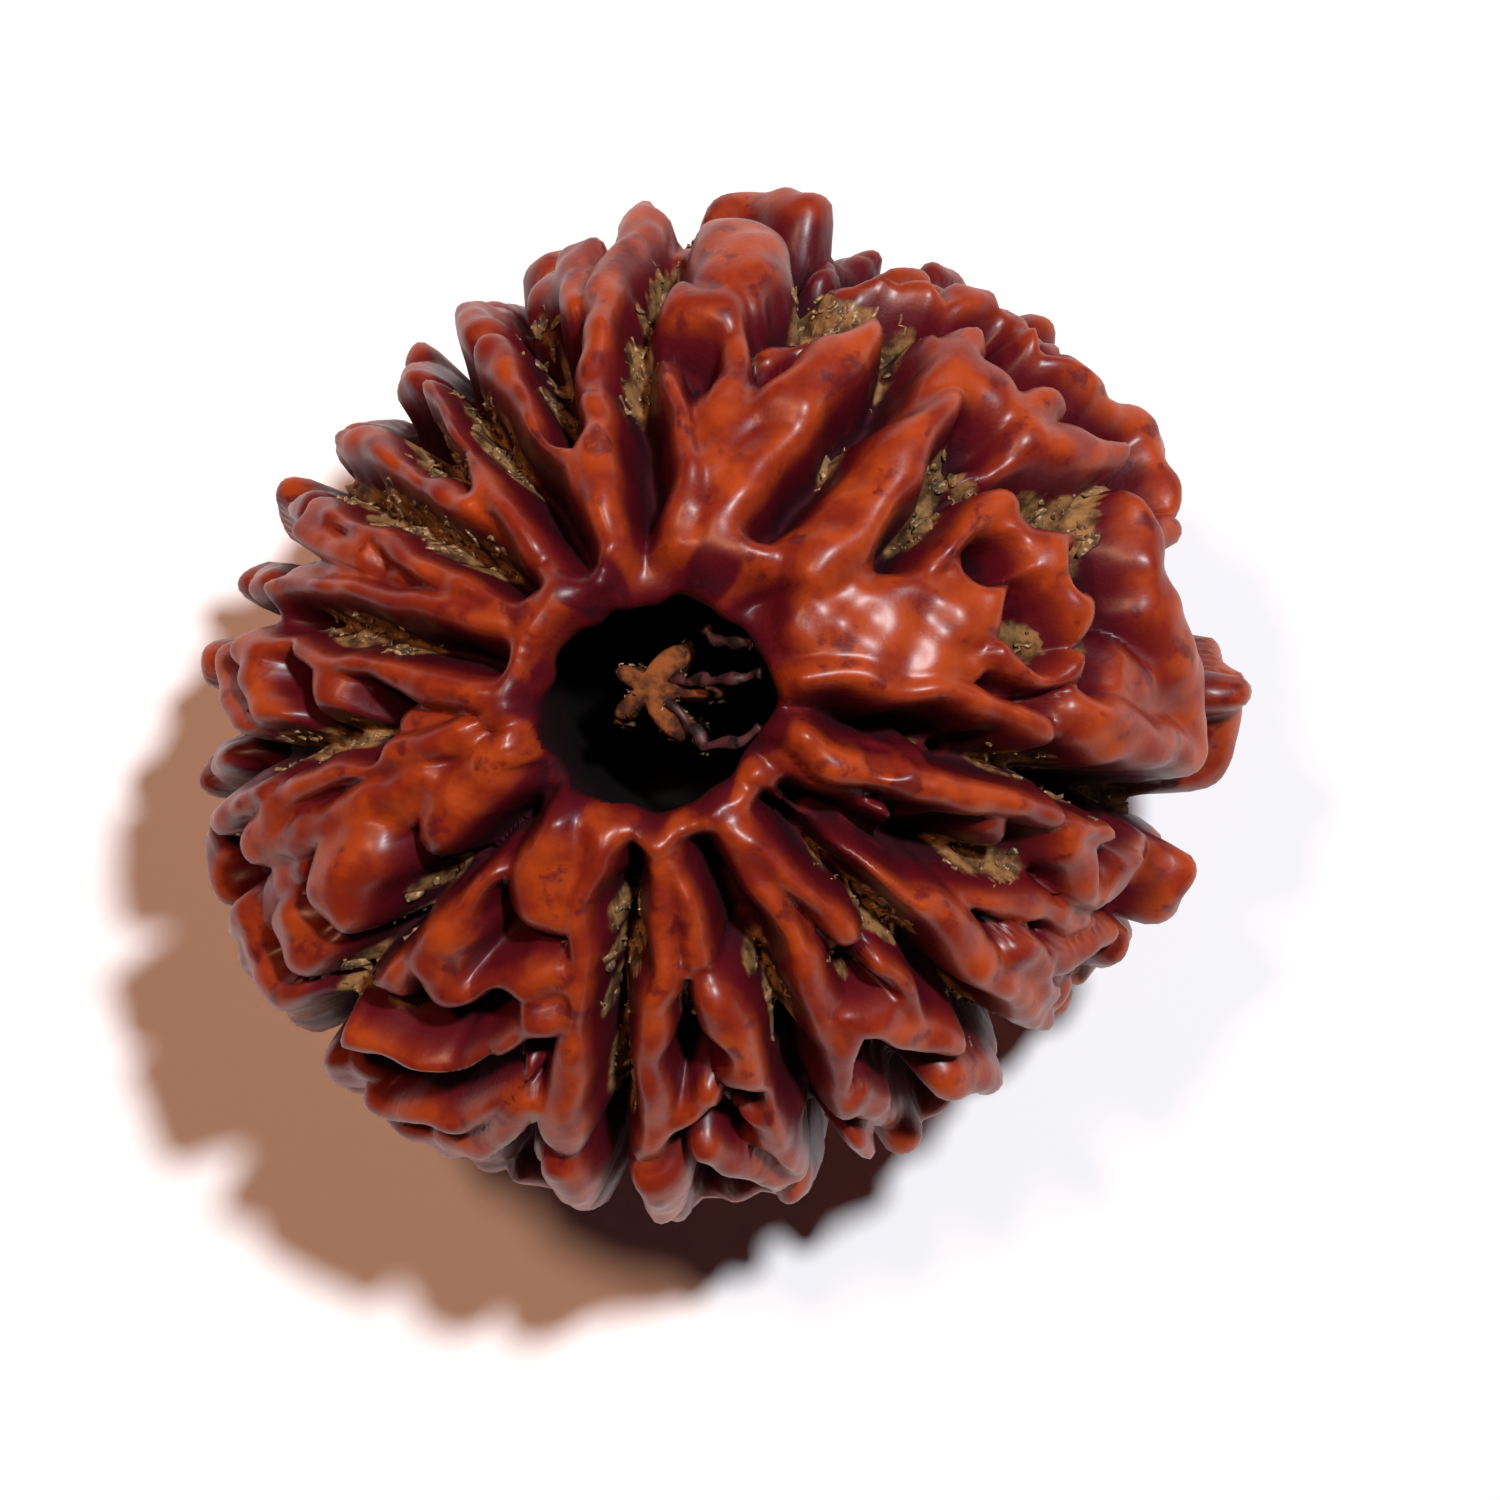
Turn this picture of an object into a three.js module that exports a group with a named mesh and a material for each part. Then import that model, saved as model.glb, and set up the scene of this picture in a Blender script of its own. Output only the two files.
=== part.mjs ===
// A ganesh rudraksha bead: the stone of one fruit, grown in one piece. Wavy ribs and knobs run from the
// open mouth at the top down to the stem scar underneath, with fibrous furrows between them, and a
// trunk-like lobe stands out at +X.
// Millimetres, +Z up along the bead's own axis, origin in the middle of the flat spot it rests on.
import * as THREE from "three";
import { mergeVertices } from "three/addons/utils/BufferGeometryUtils.js";

// Driving sizes. The crest surface is the smooth egg that touches the tops of most ribs.
const meanRadius = 12.65; // of the crest surface at its widest level
const stretch = 0.85; // added along the bead's long way and taken off across it
const longWay = 40; // azimuth of the long way, in degrees
const halfHeight = 10.6; // of the crest surface
const relief = 2.5; // from the crest surface in to the valley floors
const scarDepth = 0.8; // how much of the crest surface the flat spot takes away
const blend = 0.18; // how softly ribs run together
const flankSlope = 0.25; // run over rise where a rib's round crest turns into its flank
const furrowHalf = 0.7; // half width of a furrow
const furrowDepth = 0.55; // below the valley floor
const furrowBite = 0.6; // share of a rib's height that a furrow takes where they cross
// The least height of a valley round the mouth and on the sides, and the polar angles where it fades or grows
const shallowTop = { height: 1.2, from: 20, to: 42 };
const shallowSides = { height: 0.4, from: 58, to: 75 };

// The mouth: a pit round the axis with a star-shaped stump of fibre standing in it.
const mouthAngle = 11.5; // mean polar angle of its edge, in degrees
const mouthStretch = 1.1; // added to that angle at +X and -X, and taken off at +Y and -Y
const mouthFloor = 1; // level of its floor above the bead's middle
const mouthBelly = 2.6; // radius half way down
const mouthFoot = 2.0; // radius at the floor
const stumpHeight = 5.8;
const stumpRadius = 1.1;
const stumpArm = 0.4; // how far the points of the star reach beyond its mean radius
const stumpPoints = 5;
const stumpEdge = 0.3;

// The grid of points over the bead
const gridDetail = 23;
const mouthShare = 30; // degrees of the grid, from the pole, that line the mouth
const evenings = 2; // how many times the points are spread more evenly
const easings = 3; // how many times each point then moves towards the middle of its neighbours
const easing = 0.4; // share of the way it goes

// Ribs read off the bead: half width, rise above the valley floor, then the way of the crest as
// [azimuth, polar angle] in degrees, with a third number where the rise there differs.
const upperRibs = [
  // far side of the mouth, and the broad knob on the outer edge
  [0.75, 2.4, [80, 12.5, 1.2], [82, 16, 2.2], [84, 20], [87, 26], [89, 32], [91, 38], [93, 43, 2]],
  [1.5, 2, [79, 23], [78, 30], [77, 35]],
  [1.2, 2.1, [73, 18], [72, 26], [71, 34]],
  [1.4, 2.15, [62, 18], [61, 26], [59, 34], [57, 40]],
  [1.3, 2.15, [50, 20], [50, 28], [49, 35]],
  [0.8, 1.5, [91, 14], [92, 22], [93, 30]],
  [0.6, 2.3, [68, 12.5, 1.3], [69, 17, 2.1], [68, 23], [66, 29], [63, 35]],
  [0.9, 2.6, [66, 36], [63, 42], [60, 48], [57, 54]],
  [0.45, 2.1, [77, 33], [78, 39], [80, 45], [82, 49]],
  [1.5, 2.7, [84, 65], [81, 56]],
  [0.8, 2.6, [92, 53], [88, 51], [84, 49]],
  [0.8, 2.75, [90, 86], [86, 88], [81, 87], [77.5, 83]],
  [0.45, 1.4, [74, 46], [71, 49], [67, 51], [64, 52]],
  // the long rib left of it and the finger beyond
  [0.85, 2.4, [103, 13, 1.4], [104, 17, 2.3], [104, 24], [103, 30], [101, 36], [99, 39, 2.2]],
  [0.4, 2.3, [108, 18], [108, 24], [107, 31], [105, 38]],
  [0.8, 2.5, [102, 42, 2.1], [101, 49], [100, 56], [99, 63], [97, 71], [96, 78, 2.8], [96, 84, 2.9]],
  [0.6, 2.3, [106, 60], [105, 67], [104, 74, 2.6]],
  [0.7, 2.2, [111, 13, 1.2], [111, 20], [112, 26], [114, 33], [116, 40], [118, 48], [119, 56, 2.5]],
  [0.8, 2.5, [119, 64], [121, 71], [121, 78]],
  [0.8, 1.5, [91.5, 70], [91, 78], [91, 87]],
  // upper left
  [0.8, 2, [127, 13, 1.2], [129, 19], [130, 25]],
  [0.5, 2.3, [130, 24], [130, 31], [128, 38], [127, 42]],
  [0.55, 2.3, [128, 46], [129, 53], [129.5, 61]],
  [0.6, 2.2, [134, 28, 1.6], [136, 34], [138.5, 40], [141, 46], [142, 53]],
  [0.85, 2.5, [142, 54], [143.5, 65]],
  [0.45, 2.4, [145, 62], [146.5, 70]],
  [0.65, 2.3, [144, 14, 1.4], [147, 19], [149, 25], [150, 31], [149.5, 38], [149, 44], [149, 50], [149, 56]],
  [0.5, 2.3, [151, 56], [152, 61]],
  [0.5, 2.2, [155, 45], [156, 52], [155, 60, 2.4]],
  [0.6, 1.7, [153, 24], [154, 31], [154, 38], [156, 44]],
  [0.6, 2.3, [158, 14, 1.4], [160, 20], [161, 27], [162, 34], [163, 41], [164, 48], [165, 55],
    [167, 62, 2.5]],
  [0.9, 1.9, [160, 46], [162, 54], [165, 62]],
  // left
  [0.6, 2.3, [182, 14, 1.4], [180, 20], [177, 27], [174, 34], [172, 40], [171, 47], [170.5, 54],
    [172, 62, 2.6]],
  [0.8, 2.1, [173, 44], [177, 43], [181, 41.5], [185, 41]],
  [0.65, 2.4, [172, 60], [176, 58], [180, 55], [184, 51]],
  [0.5, 2.3, [174, 72], [177, 68], [181, 63], [185, 57]],
  [0.5, 1.6, [185, 24], [186, 30], [188, 35]],
  [0.8, 1.5, [190, 18], [190, 25], [190, 31]],
  [0.45, 2.3, [198, 12.5, 1.5], [200, 16], [203, 20]],
  [1.1, 2.2, [205, 21], [209, 26], [212, 29]],
  [0.5, 2.3, [193, 22], [192, 29], [191.5, 36], [191.5, 42], [193, 48], [196, 54], [199, 60]],
  [0.6, 2.2, [199, 28], [199.5, 36], [200, 44], [200, 52], [199.5, 59]],
  [0.6, 2.5, [191, 54], [192, 61], [194, 68]],
  [0.6, 2.35, [193, 74], [197, 78], [201, 77]],
  // lower left, with the big round knob
  [0.6, 2, [201, 27], [202, 32], [204, 36]],
  [1.35, 2.7, [208, 41], [211, 45]],
  [0.7, 1.9, [204, 53], [205, 60], [207, 67]],
  [0.9, 2.4, [211, 57], [214, 59], [217, 56]],
  [0.7, 2.6, [213, 70], [216, 69], [219, 65]],
  [0.5, 2.4, [205.5, 68], [206.5, 76]],
  [0.6, 2.4, [209, 70], [211, 78]],
  [0.5, 2.3, [230, 13, 1.5], [232, 17], [234, 20]],
  [1.2, 2.2, [235, 20], [239, 24], [243, 27]],
  [0.4, 2, [246, 19], [248, 24], [248, 28]],
  [0.5, 2.3, [226.5, 27], [227, 33]],
  [0.95, 2.5, [227, 36], [228, 39]],
  [0.6, 2.2, [226, 42], [225, 48], [223.5, 54]],
  [0.8, 2.3, [230, 41], [234, 43], [238, 43], [242, 40], [246, 37], [250, 36]],
  [0.55, 2.5, [224, 61], [227, 58], [231, 56], [236, 55], [239.5, 51], [242, 46], [246, 42], [250, 41]],
  [0.9, 2.5, [224, 63], [227, 60]],
  [0.5, 2.4, [231, 74], [237, 70], [242, 64], [245, 57], [247, 51]],
  [0.45, 2.35, [234, 77], [240, 76], [245, 69], [248, 61], [251, 56]],
  [0.6, 2.3, [224, 74], [225.5, 80]],
  // near side
  [0.55, 2.3, [250, 14, 1.5], [252, 18], [253.5, 24], [254.5, 31], [255.5, 38], [256, 45]],
  [0.85, 2.5, [256, 46], [256, 54], [256, 61]],
  [0.7, 2.7, [255.5, 68], [257, 75], [257.5, 81]],
  [0.55, 2.2, [267, 15, 1.6], [268, 21], [269.5, 27], [271, 33]],
  [0.55, 2.2, [276, 15, 1.6], [278, 21], [279, 27], [280.5, 33]],
  [0.45, 2.1, [271, 34], [276, 35], [280, 34]],
  [0.65, 2.4, [270, 36.5], [267, 39], [266.5, 45], [266.5, 52], [266, 58], [265.5, 64]],
  [0.45, 2.2, [266, 62], [269, 59], [272.5, 56.5], [275, 55], [278, 57], [281, 63], [282, 70]],
  [0.9, 2.5, [281.5, 40], [281.5, 46], [282, 51]],
  [0.4, 2.3, [283, 53], [283.5, 58]],
  [0.65, 2.5, [284, 60], [284.5, 67], [284, 74], [282, 82]],
  [0.75, 2.8, [266, 70], [266, 77], [266, 85]],
  [0.5, 2.5, [273, 66], [276, 73], [279, 81], [279, 87]],
  // lower right
  [0.65, 2.2, [295, 15, 1.5], [296, 20], [296, 27], [295, 34], [295, 39]],
  [0.6, 2.3, [303, 15, 1.5], [304, 22], [306, 29], [307.5, 35], [309, 40]],
  [0.9, 1.6, [300, 24], [301, 30], [301, 36]],
  [0.95, 2.3, [296, 41], [295, 46], [294, 51]],
  [0.5, 2.4, [290.5, 69], [291, 62], [294, 56], [299, 51.5], [303, 55], [305, 61], [307, 67]],
  [0.7, 2.4, [310, 48], [309.5, 54], [309, 60], [308, 67]],
  [0.6, 2.8, [305, 74], [307, 81], [308, 88]],
  [0.55, 2.3, [293.5, 66], [294, 73]],
  [0.6, 2.8, [289, 78], [289, 86]],
  [0.9, 2.5, [325, 33], [322, 37], [320.5, 42], [319.5, 48], [318.5, 55]],
  [0.85, 2.6, [319, 59], [318, 65], [317, 72], [316, 81], [316, 88]],
  [0.45, 2.5, [324, 62], [322, 70], [320, 80]],
  [0.45, 2, [338, 47], [336, 50]],
  [0.45, 2, [326, 49], [328, 54], [329, 60], [330, 67], [331, 75]],
  [0.45, 2.4, [324, 70], [327, 78], [330, 84]],
  [0.5, 1.9, [318, 16], [320, 21]],
  [0.5, 2.5, [340, 12.5, 1.6], [340, 18], [340, 26], [340.5, 33], [341, 39], [342, 46], [343.5, 54]],
  [0.5, 1.9, [351, 13, 1.4], [350, 19], [348.5, 26], [347.5, 33]],
  [0.7, 1.9, [333, 18], [330, 24], [327, 30]],
  [0.6, 2.4, [341, 58.5], [343, 62], [343, 68], [341.5, 74], [340, 78, 2.2], [338.5, 80, 2], [336.5, 78, 2],
    [335.5, 72, 2.3], [336, 66], [337.5, 61], [341, 58.5]],
  [0.6, 3.2, [340, 92], [337, 94]],
  [1.4, 2.15, [340.5, 65], [339, 71], [338, 77]],
  // right, the plate beside the mouth
  [0.65, 2.5, [9, 12.5, 1.5], [4, 16], [1, 21], [359.5, 27], [358, 32], [356, 37], [354, 42], [353.5, 47]],
  [0.4, 2.6, [5, 41], [3.5, 45], [3, 51]],
  [1.2, 2.2, [14, 15, 1.4], [14, 21], [13, 28], [12, 34]],
  [1.1, 2.25, [6, 20], [6, 27], [5, 34]],
  [0.9, 2.2, [22, 18], [21, 25], [19, 31], [16, 35]],
  [0.8, 2.05, [23, 29], [22.5, 36]],
  [0.5, 1.9, [26, 40], [24.5, 45]],
  [1.3, 2.5, [14, 37], [14.5, 43]],
  [0.8, 2.3, [24, 44], [20, 46]],
  [1.1, 2.45, [18, 48], [16.5, 51]],
  [0.5, 2.2, [11, 36], [7, 38], [4, 38]],
  [0.55, 2.4, [24, 28, 1.9], [28, 34], [30, 39.5], [29.5, 45]],
  [0.5, 2.1, [28, 46], [24, 47.5], [21, 48]],
  [1, 2.6, [18.5, 50], [14, 51], [11, 50.5]],
  // right, the trunk-like lobe
  [1, 2.7, [357, 54], [355, 59], [354, 65], [353, 72], [354, 79]],
  [0.9, 2.6, [21, 67], [16, 65], [12, 66], [8, 69], [4, 73], [1, 78], [358, 81], [355, 80]],
  [1.7, 2.1, [2, 59], [0, 66], [358, 74]],
  [0.45, 3.3, [2, 88], [1, 92]],
  [0.7, 3.2, [1, 95], [357, 98], [353, 98, 3], [349, 95, 2.5]],
  // upper right
  [0.6, 2.45, [36, 49, 1.9], [34.5, 54], [32.5, 59], [31, 64], [29, 69]],
  [0.6, 2.45, [36, 53], [38, 58], [38.5, 61]],
  [0.55, 2.2, [35.5, 74], [33.5, 78], [31, 82, 2.5], [29, 86]],
  [0.65, 2.45, [28, 81], [25.5, 80], [23, 78]],
  [0.6, 2.4, [20, 62], [20.5, 68], [20, 74]],
  [0.5, 2.2, [48, 66, 1.9], [46, 67.5, 2.5], [43.5, 68.5, 2.1], [40.5, 69.5, 2.4], [37.5, 71, 2.5]],
  [0.4, 2.2, [47.5, 69], [48.5, 72]],
  [0.4, 2, [44, 73], [43, 74.5]],
  [0.5, 2.3, [40, 73], [38, 74.5]],
  [0.5, 1.9, [36, 67], [34, 70]],
  [0.6, 1.6, [47, 77], [42, 80], [37, 84]],
  [0.6, 2.1, [50, 13, 1.4], [49, 18], [47, 23]],
  [0.9, 2.6, [38, 22], [38.5, 27], [40, 32], [42, 37]],
  [1.15, 2.8, [42, 37], [43, 42], [42.5, 45]],
  [0.5, 2.3, [49, 26], [45, 28.5], [41, 30]],
  [0.85, 2.2, [27, 15, 1.4], [28, 19], [31, 23], [35, 27], [38, 30]],
  [0.85, 2.5, [52, 44], [50, 49], [49.5, 54], [50, 60], [50, 64]],
  [0.95, 2.5, [48, 50], [45, 53], [42.5, 54]],
  [0.8, 2, [51, 36], [49, 40], [47, 44]],
  [0.55, 2.1, [68, 61, 1.8], [64.5, 61, 2.3], [62, 62, 2], [58.5, 63.5, 2.4], [56, 66, 1.9],
    [53.5, 68, 2.3], [50.5, 70]],
  [0.5, 2.1, [63, 67], [61, 69]],
  [0.45, 2.2, [56, 70], [54, 71.5]],
  [0.4, 2, [51, 73], [49.5, 73.5]],
  [0.6, 1.5, [64, 72], [58, 76], [52, 79]],
  [0.9, 2.2, [57, 12.5, 1.4], [58, 16], [59, 21]],
  // the collar round the mouth
  [0.55, 2.2, [118, 16], [130, 16.5], [145, 16.5], [160, 17], [175, 17.5], [188, 18]],
  [0.5, 1.3, [125, 12], [140, 12], [155, 12], [170, 12], [190, 12]],
  [0.5, 2, [243, 17], [252, 17.5, 2.2], [262, 15.5], [270, 18, 2.25], [280, 15.5], [289, 18, 2.2],
    [299, 16.5], [308, 19]],
  [0.4, 1.3, [240, 12.5], [262, 12.3], [280, 12.5], [293, 12], [310, 12.5]],
];

// Furrows read off the bead, as [azimuth, polar angle]
const upperFurrows = [
  [[90, 12], [92, 20], [93, 30], [95, 40], [94, 50], [93, 60], [92, 68]],
  [[110, 36], [110, 44], [110, 52], [111, 60], [112, 70]],
  [[120, 18], [121, 26], [122.5, 34], [124, 42], [124.5, 50], [125, 58], [125, 84]],
  [[134, 46], [133, 54], [134, 62], [136, 72]],
  [[142, 22], [143, 28], [144.5, 35], [145.5, 42], [146, 50], [146.5, 58], [148, 84]],
  [[167, 20], [168, 28], [168, 40], [168, 48], [168.5, 56], [169, 84]],
  [[188, 36], [187, 42], [187, 50], [188, 56], [192, 84]],
  [[224, 14], [222, 20], [221, 27], [220, 34], [219.5, 41], [219.5, 48], [220, 56], [221, 64], [221, 84]],
  [[261, 20], [261, 24], [262, 31], [262, 38], [261, 46], [261, 54], [261, 62], [261, 84]],
  [[286, 20], [287, 24], [288, 31], [289, 38], [289, 46], [288, 54], [287, 62], [287, 84]],
  [[313, 21], [313.5, 24], [314.5, 31], [315, 38], [314, 46], [313, 54], [312, 62], [313, 84]],
  [[356, 14], [353.5, 20], [352.5, 27], [351.5, 34], [350.5, 41], [348.5, 48], [347, 56], [346.5, 66],
    [346.5, 84]],
  [[56, 22], [54, 28], [54, 34], [54, 40], [54.5, 46], [58, 56], [64, 58], [70, 58]],
  [[31, 31], [34, 37], [38, 43], [40, 48]],
  [[48, 64], [44, 63], [40, 65], [36, 68.5], [33, 71]],
  [[60, 57], [56, 59.5], [53, 62], [50, 66]],
  [[28, 74], [25, 72], [23, 70]],
  [[17, 53], [17, 58], [13, 60], [9, 58]],
  [[12, 44.5], [10, 45], [7, 46]],
  [[26, 51], [25, 56], [22, 59], [17, 58], [12, 58], [7, 56], [3, 54]],
  [[224, 55], [228, 53], [232, 51.5], [236, 50.5], [239, 47], [242, 42]],
  [[226, 66], [231, 63.5], [236, 62], [241, 57], [245, 51]],
  [[337, 54], [333, 53], [330, 47], [327, 40], [325, 27], [322, 22]],
];

// The underside, which repeats the upper half's manner by rule: main furrows at these azimuths run on to
// the scar, and the strip between two of them holds columns of short ribs.
const lowerFurrows = [20, 54, 92, 125, 148, 169, 192, 221, 261, 287, 313, 347.5];
const columnWidth = 11.5; // degrees of azimuth
const tiers = [
  { from: 95, to: 109, rise: 2.5, everyColumn: true },
  { from: 112, to: 127, rise: 2.5, everyColumn: true },
  { from: 130, to: 147, rise: 2.3, everyColumn: true },
  { from: 149, to: 167, rise: 2.2, everyColumn: false },
];
const spurChance = 0.45;
const lead = { over: 22, rise: 2 }; // the uppermost of them start low, that many degrees higher up
// Azimuths between which the lower ribs are flatter, and by how much.
const flatSides = [
  { from: 8, to: 24, drop: 1.5 },
  { from: 24, to: 75, drop: 0.8 },
];
const seed = 4127;
const scarRadius = 2.6; // of the round scar where the stalk was
const scarProud = 0.25; // of the crest surface, before the flat spot takes it off

// Repeatable draws between 0 and 1
function draws(start) {
  let state = start;
  return () => {
    state = (state * 16807) % 2147483647;
    return state / 2147483647;
  };
}

function crestPoint(azimuth, polar) {
  const a = THREE.MathUtils.degToRad(azimuth);
  const p = THREE.MathUtils.degToRad(polar);
  const radius = meanRadius + stretch * Math.cos(2 * (a - THREE.MathUtils.degToRad(longWay)));
  return new THREE.Vector3(
    radius * Math.sin(p) * Math.cos(a),
    radius * Math.sin(p) * Math.sin(a),
    halfHeight * Math.cos(p),
  );
}

function lowerRibs() {
  const draw = draws(seed);
  const spread = (low, high) => low + (high - low) * draw();
  const ribs = [];
  lowerFurrows.forEach((left, strip) => {
    const right = lowerFurrows[(strip + 1) % lowerFurrows.length];
    const width = (right - left + 360) % 360;
    const columns = Math.max(2, Math.round(width / columnWidth));
    for (const tier of tiers) {
      const count = tier.everyColumn ? columns : Math.ceil(columns / 2);
      for (let column = 0; column < count; column++) {
        const middle = left + ((column + 0.5) * width) / count;
        const top = tier.from + spread(-4, 4);
        const bottom = tier.to + spread(-3, 3);
        const half = spread(0.5, 0.9);
        const aside = middle % 360;
        const drop = flatSides.find(({ from, to }) => aside > from && aside < to)?.drop ?? 0;
        const lowest = half + 0.1;
        const rise = Math.max(tier.rise - drop + spread(-0.25, 0.35), lowest);
        const sway = spread(-2.5, 2.5);
        ribs.push([
          half,
          rise,
          [middle - sway, top],
          [middle + spread(-2, 2), (top + bottom) / 2],
          [middle + sway, bottom],
        ]);
        if (tier === tiers[0])
          ribs.push([half, Math.max(lead.rise - drop, lowest), [middle - sway, top], [middle, top - lead.over]]);
        if (draw() < spurChance) {
          const side = draw() < 0.5 ? -1 : 1;
          const level = (top + bottom) / 2 + spread(-4, 4);
          ribs.push([
            0.45,
            rise - 0.3,
            [middle, level],
            [middle + (side * width) / count / 2, level + spread(-5, 5)],
          ]);
        }
      }
    }
  });
  ribs.push([scarRadius, relief + scarProud, [0, 180], [180, 179]]);
  return ribs;
}

// A rib with its crest as points in space, and the sphere outside which it has no height worth adding
function traced([half, rise, ...way]) {
  const points = way.map(([azimuth, polar]) => crestPoint(azimuth, polar));
  const rises = way.map((stop) => stop[2] ?? rise);
  const ball = new THREE.Box3().setFromPoints(points).getBoundingSphere(new THREE.Sphere());
  return { half, points, rises, centre: ball.center, reach: ball.radius + half + 5 * flankSlope * rise };
}

const ribs = [...upperRibs, ...lowerRibs()].map(traced);
const furrows = [
  ...upperFurrows,
  ...lowerFurrows.map((azimuth) => [84, 100, 116, 132, 148, 162].map((polar) => [azimuth, polar])),
].map((way) => traced([furrowHalf, relief, ...way]));

// Distance from a point to a crest line, and the rise of the nearest place on it
function nearest(point, line) {
  let best = { distance: Infinity, rise: 0 };
  const segment = new THREE.Line3();
  const foot = new THREE.Vector3();
  for (let i = 0; i + 1 < line.points.length; i++) {
    segment.set(line.points[i], line.points[i + 1]);
    const along = segment.closestPointToPointParameter(point, true);
    const distance = segment.at(along, foot).distanceTo(point);
    if (distance < best.distance)
      best = { distance, rise: THREE.MathUtils.lerp(line.rises[i], line.rises[i + 1], along) };
  }
  return best;
}

// A rib's height at a distance from its crest: a round top, then a flank that dies away into the valley
function ribHeight(distance, rise, half) {
  const turn = half / Math.hypot(1, flankSlope);
  if (distance < turn) return rise - half + Math.sqrt(half * half - distance * distance);
  const shoulder = rise - half + Math.sqrt(half * half - turn * turn);
  return shoulder * Math.exp(-(distance - turn) / (flankSlope * shoulder));
}

// Valleys are shallow round the mouth, and on the sides and the underside
function valleyHeight(point) {
  const polar = THREE.MathUtils.radToDeg(Math.acos(THREE.MathUtils.clamp(point.z / halfHeight, -1, 1)));
  const roundMouth = 1 - THREE.MathUtils.smoothstep(polar, shallowTop.from, shallowTop.to);
  const onSides = THREE.MathUtils.smoothstep(polar, shallowSides.from, shallowSides.to);
  return shallowTop.height * roundMouth + shallowSides.height * onSides;
}

// Height of the surface above the valley floor under a point of the crest surface
function surfaceHeight(point) {
  let sum = Math.exp(valleyHeight(point) / blend);
  for (const rib of ribs) {
    if (rib.centre.distanceTo(point) > rib.reach) continue;
    const { distance, rise } = nearest(point, rib);
    sum += Math.exp(ribHeight(distance, rise, rib.half) / blend) - 1;
  }
  let bite = 0;
  for (const furrow of furrows) {
    if (furrow.centre.distanceTo(point) > furrow.reach) continue;
    bite = Math.max(bite, Math.exp(-((nearest(point, furrow).distance / furrow.half) ** 2)));
  }
  return blend * Math.log(sum) * (1 - furrowBite * bite) - furrowDepth * bite;
}

function outerPoint(azimuth, polar) {
  const crest = crestPoint(azimuth, polar);
  const reach = crest.length();
  return crest.clone().multiplyScalar((reach + surfaceHeight(crest) - relief) / reach);
}

function mouthEdge(azimuth) {
  return mouthAngle + mouthStretch * Math.cos(2 * THREE.MathUtils.degToRad(azimuth));
}

// Height of the stump of fibre over the mouth's floor
function stumpLevel(radius, azimuth) {
  const a = THREE.MathUtils.degToRad(azimuth);
  const edge = stumpRadius + stumpArm * Math.cos(stumpPoints * a + Math.sin(2 * a));
  return stumpHeight * THREE.MathUtils.smoothstep(edge - radius, -stumpEdge, stumpEdge);
}

// A point of the mouth's lining: share is 0 at its edge, and 1 on the axis
function mouthPoint(azimuth, share) {
  const wall = 0.5; // share that is wall; the rest is floor and stump
  const rim = outerPoint(azimuth, mouthEdge(azimuth));
  const rimRadius = Math.hypot(rim.x, rim.y);
  const a = THREE.MathUtils.degToRad(azimuth);
  let radius;
  let level;
  if (share < wall) {
    const down = share / wall;
    const lined = rimRadius * (1 - down) + mouthFoot * down;
    radius = lined + (mouthBelly - (rimRadius + mouthFoot) / 2) * Math.sin(Math.PI * down);
    level = THREE.MathUtils.lerp(rim.z, mouthFloor, down);
  } else {
    radius = (mouthFoot * (1 - share)) / (1 - wall);
    level = mouthFloor + stumpLevel(radius, azimuth);
  }
  return new THREE.Vector3(radius * Math.cos(a), radius * Math.sin(a), level);
}

// The bead's surface in the direction of a point of the unit sphere
function beadPoint(direction) {
  const azimuth = THREE.MathUtils.radToDeg(Math.atan2(direction.y, direction.x));
  const fromPole = THREE.MathUtils.radToDeg(Math.acos(THREE.MathUtils.clamp(direction.z, -1, 1)));
  if (fromPole < mouthShare) return mouthPoint(azimuth, 1 - fromPole / mouthShare);
  const share = (fromPole - mouthShare) / (180 - mouthShare);
  return outerPoint(azimuth, THREE.MathUtils.lerp(mouthEdge(azimuth), 180, share));
}

function neighboursOf(index, count) {
  const sets = Array.from({ length: count }, () => new Set());
  for (let i = 0; i < index.length; i += 3)
    for (let k = 0; k < 3; k++) {
      sets[index[i + k]].add(index[i + ((k + 1) % 3)]);
      sets[index[i + k]].add(index[i + ((k + 2) % 3)]);
    }
  return sets;
}

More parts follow.
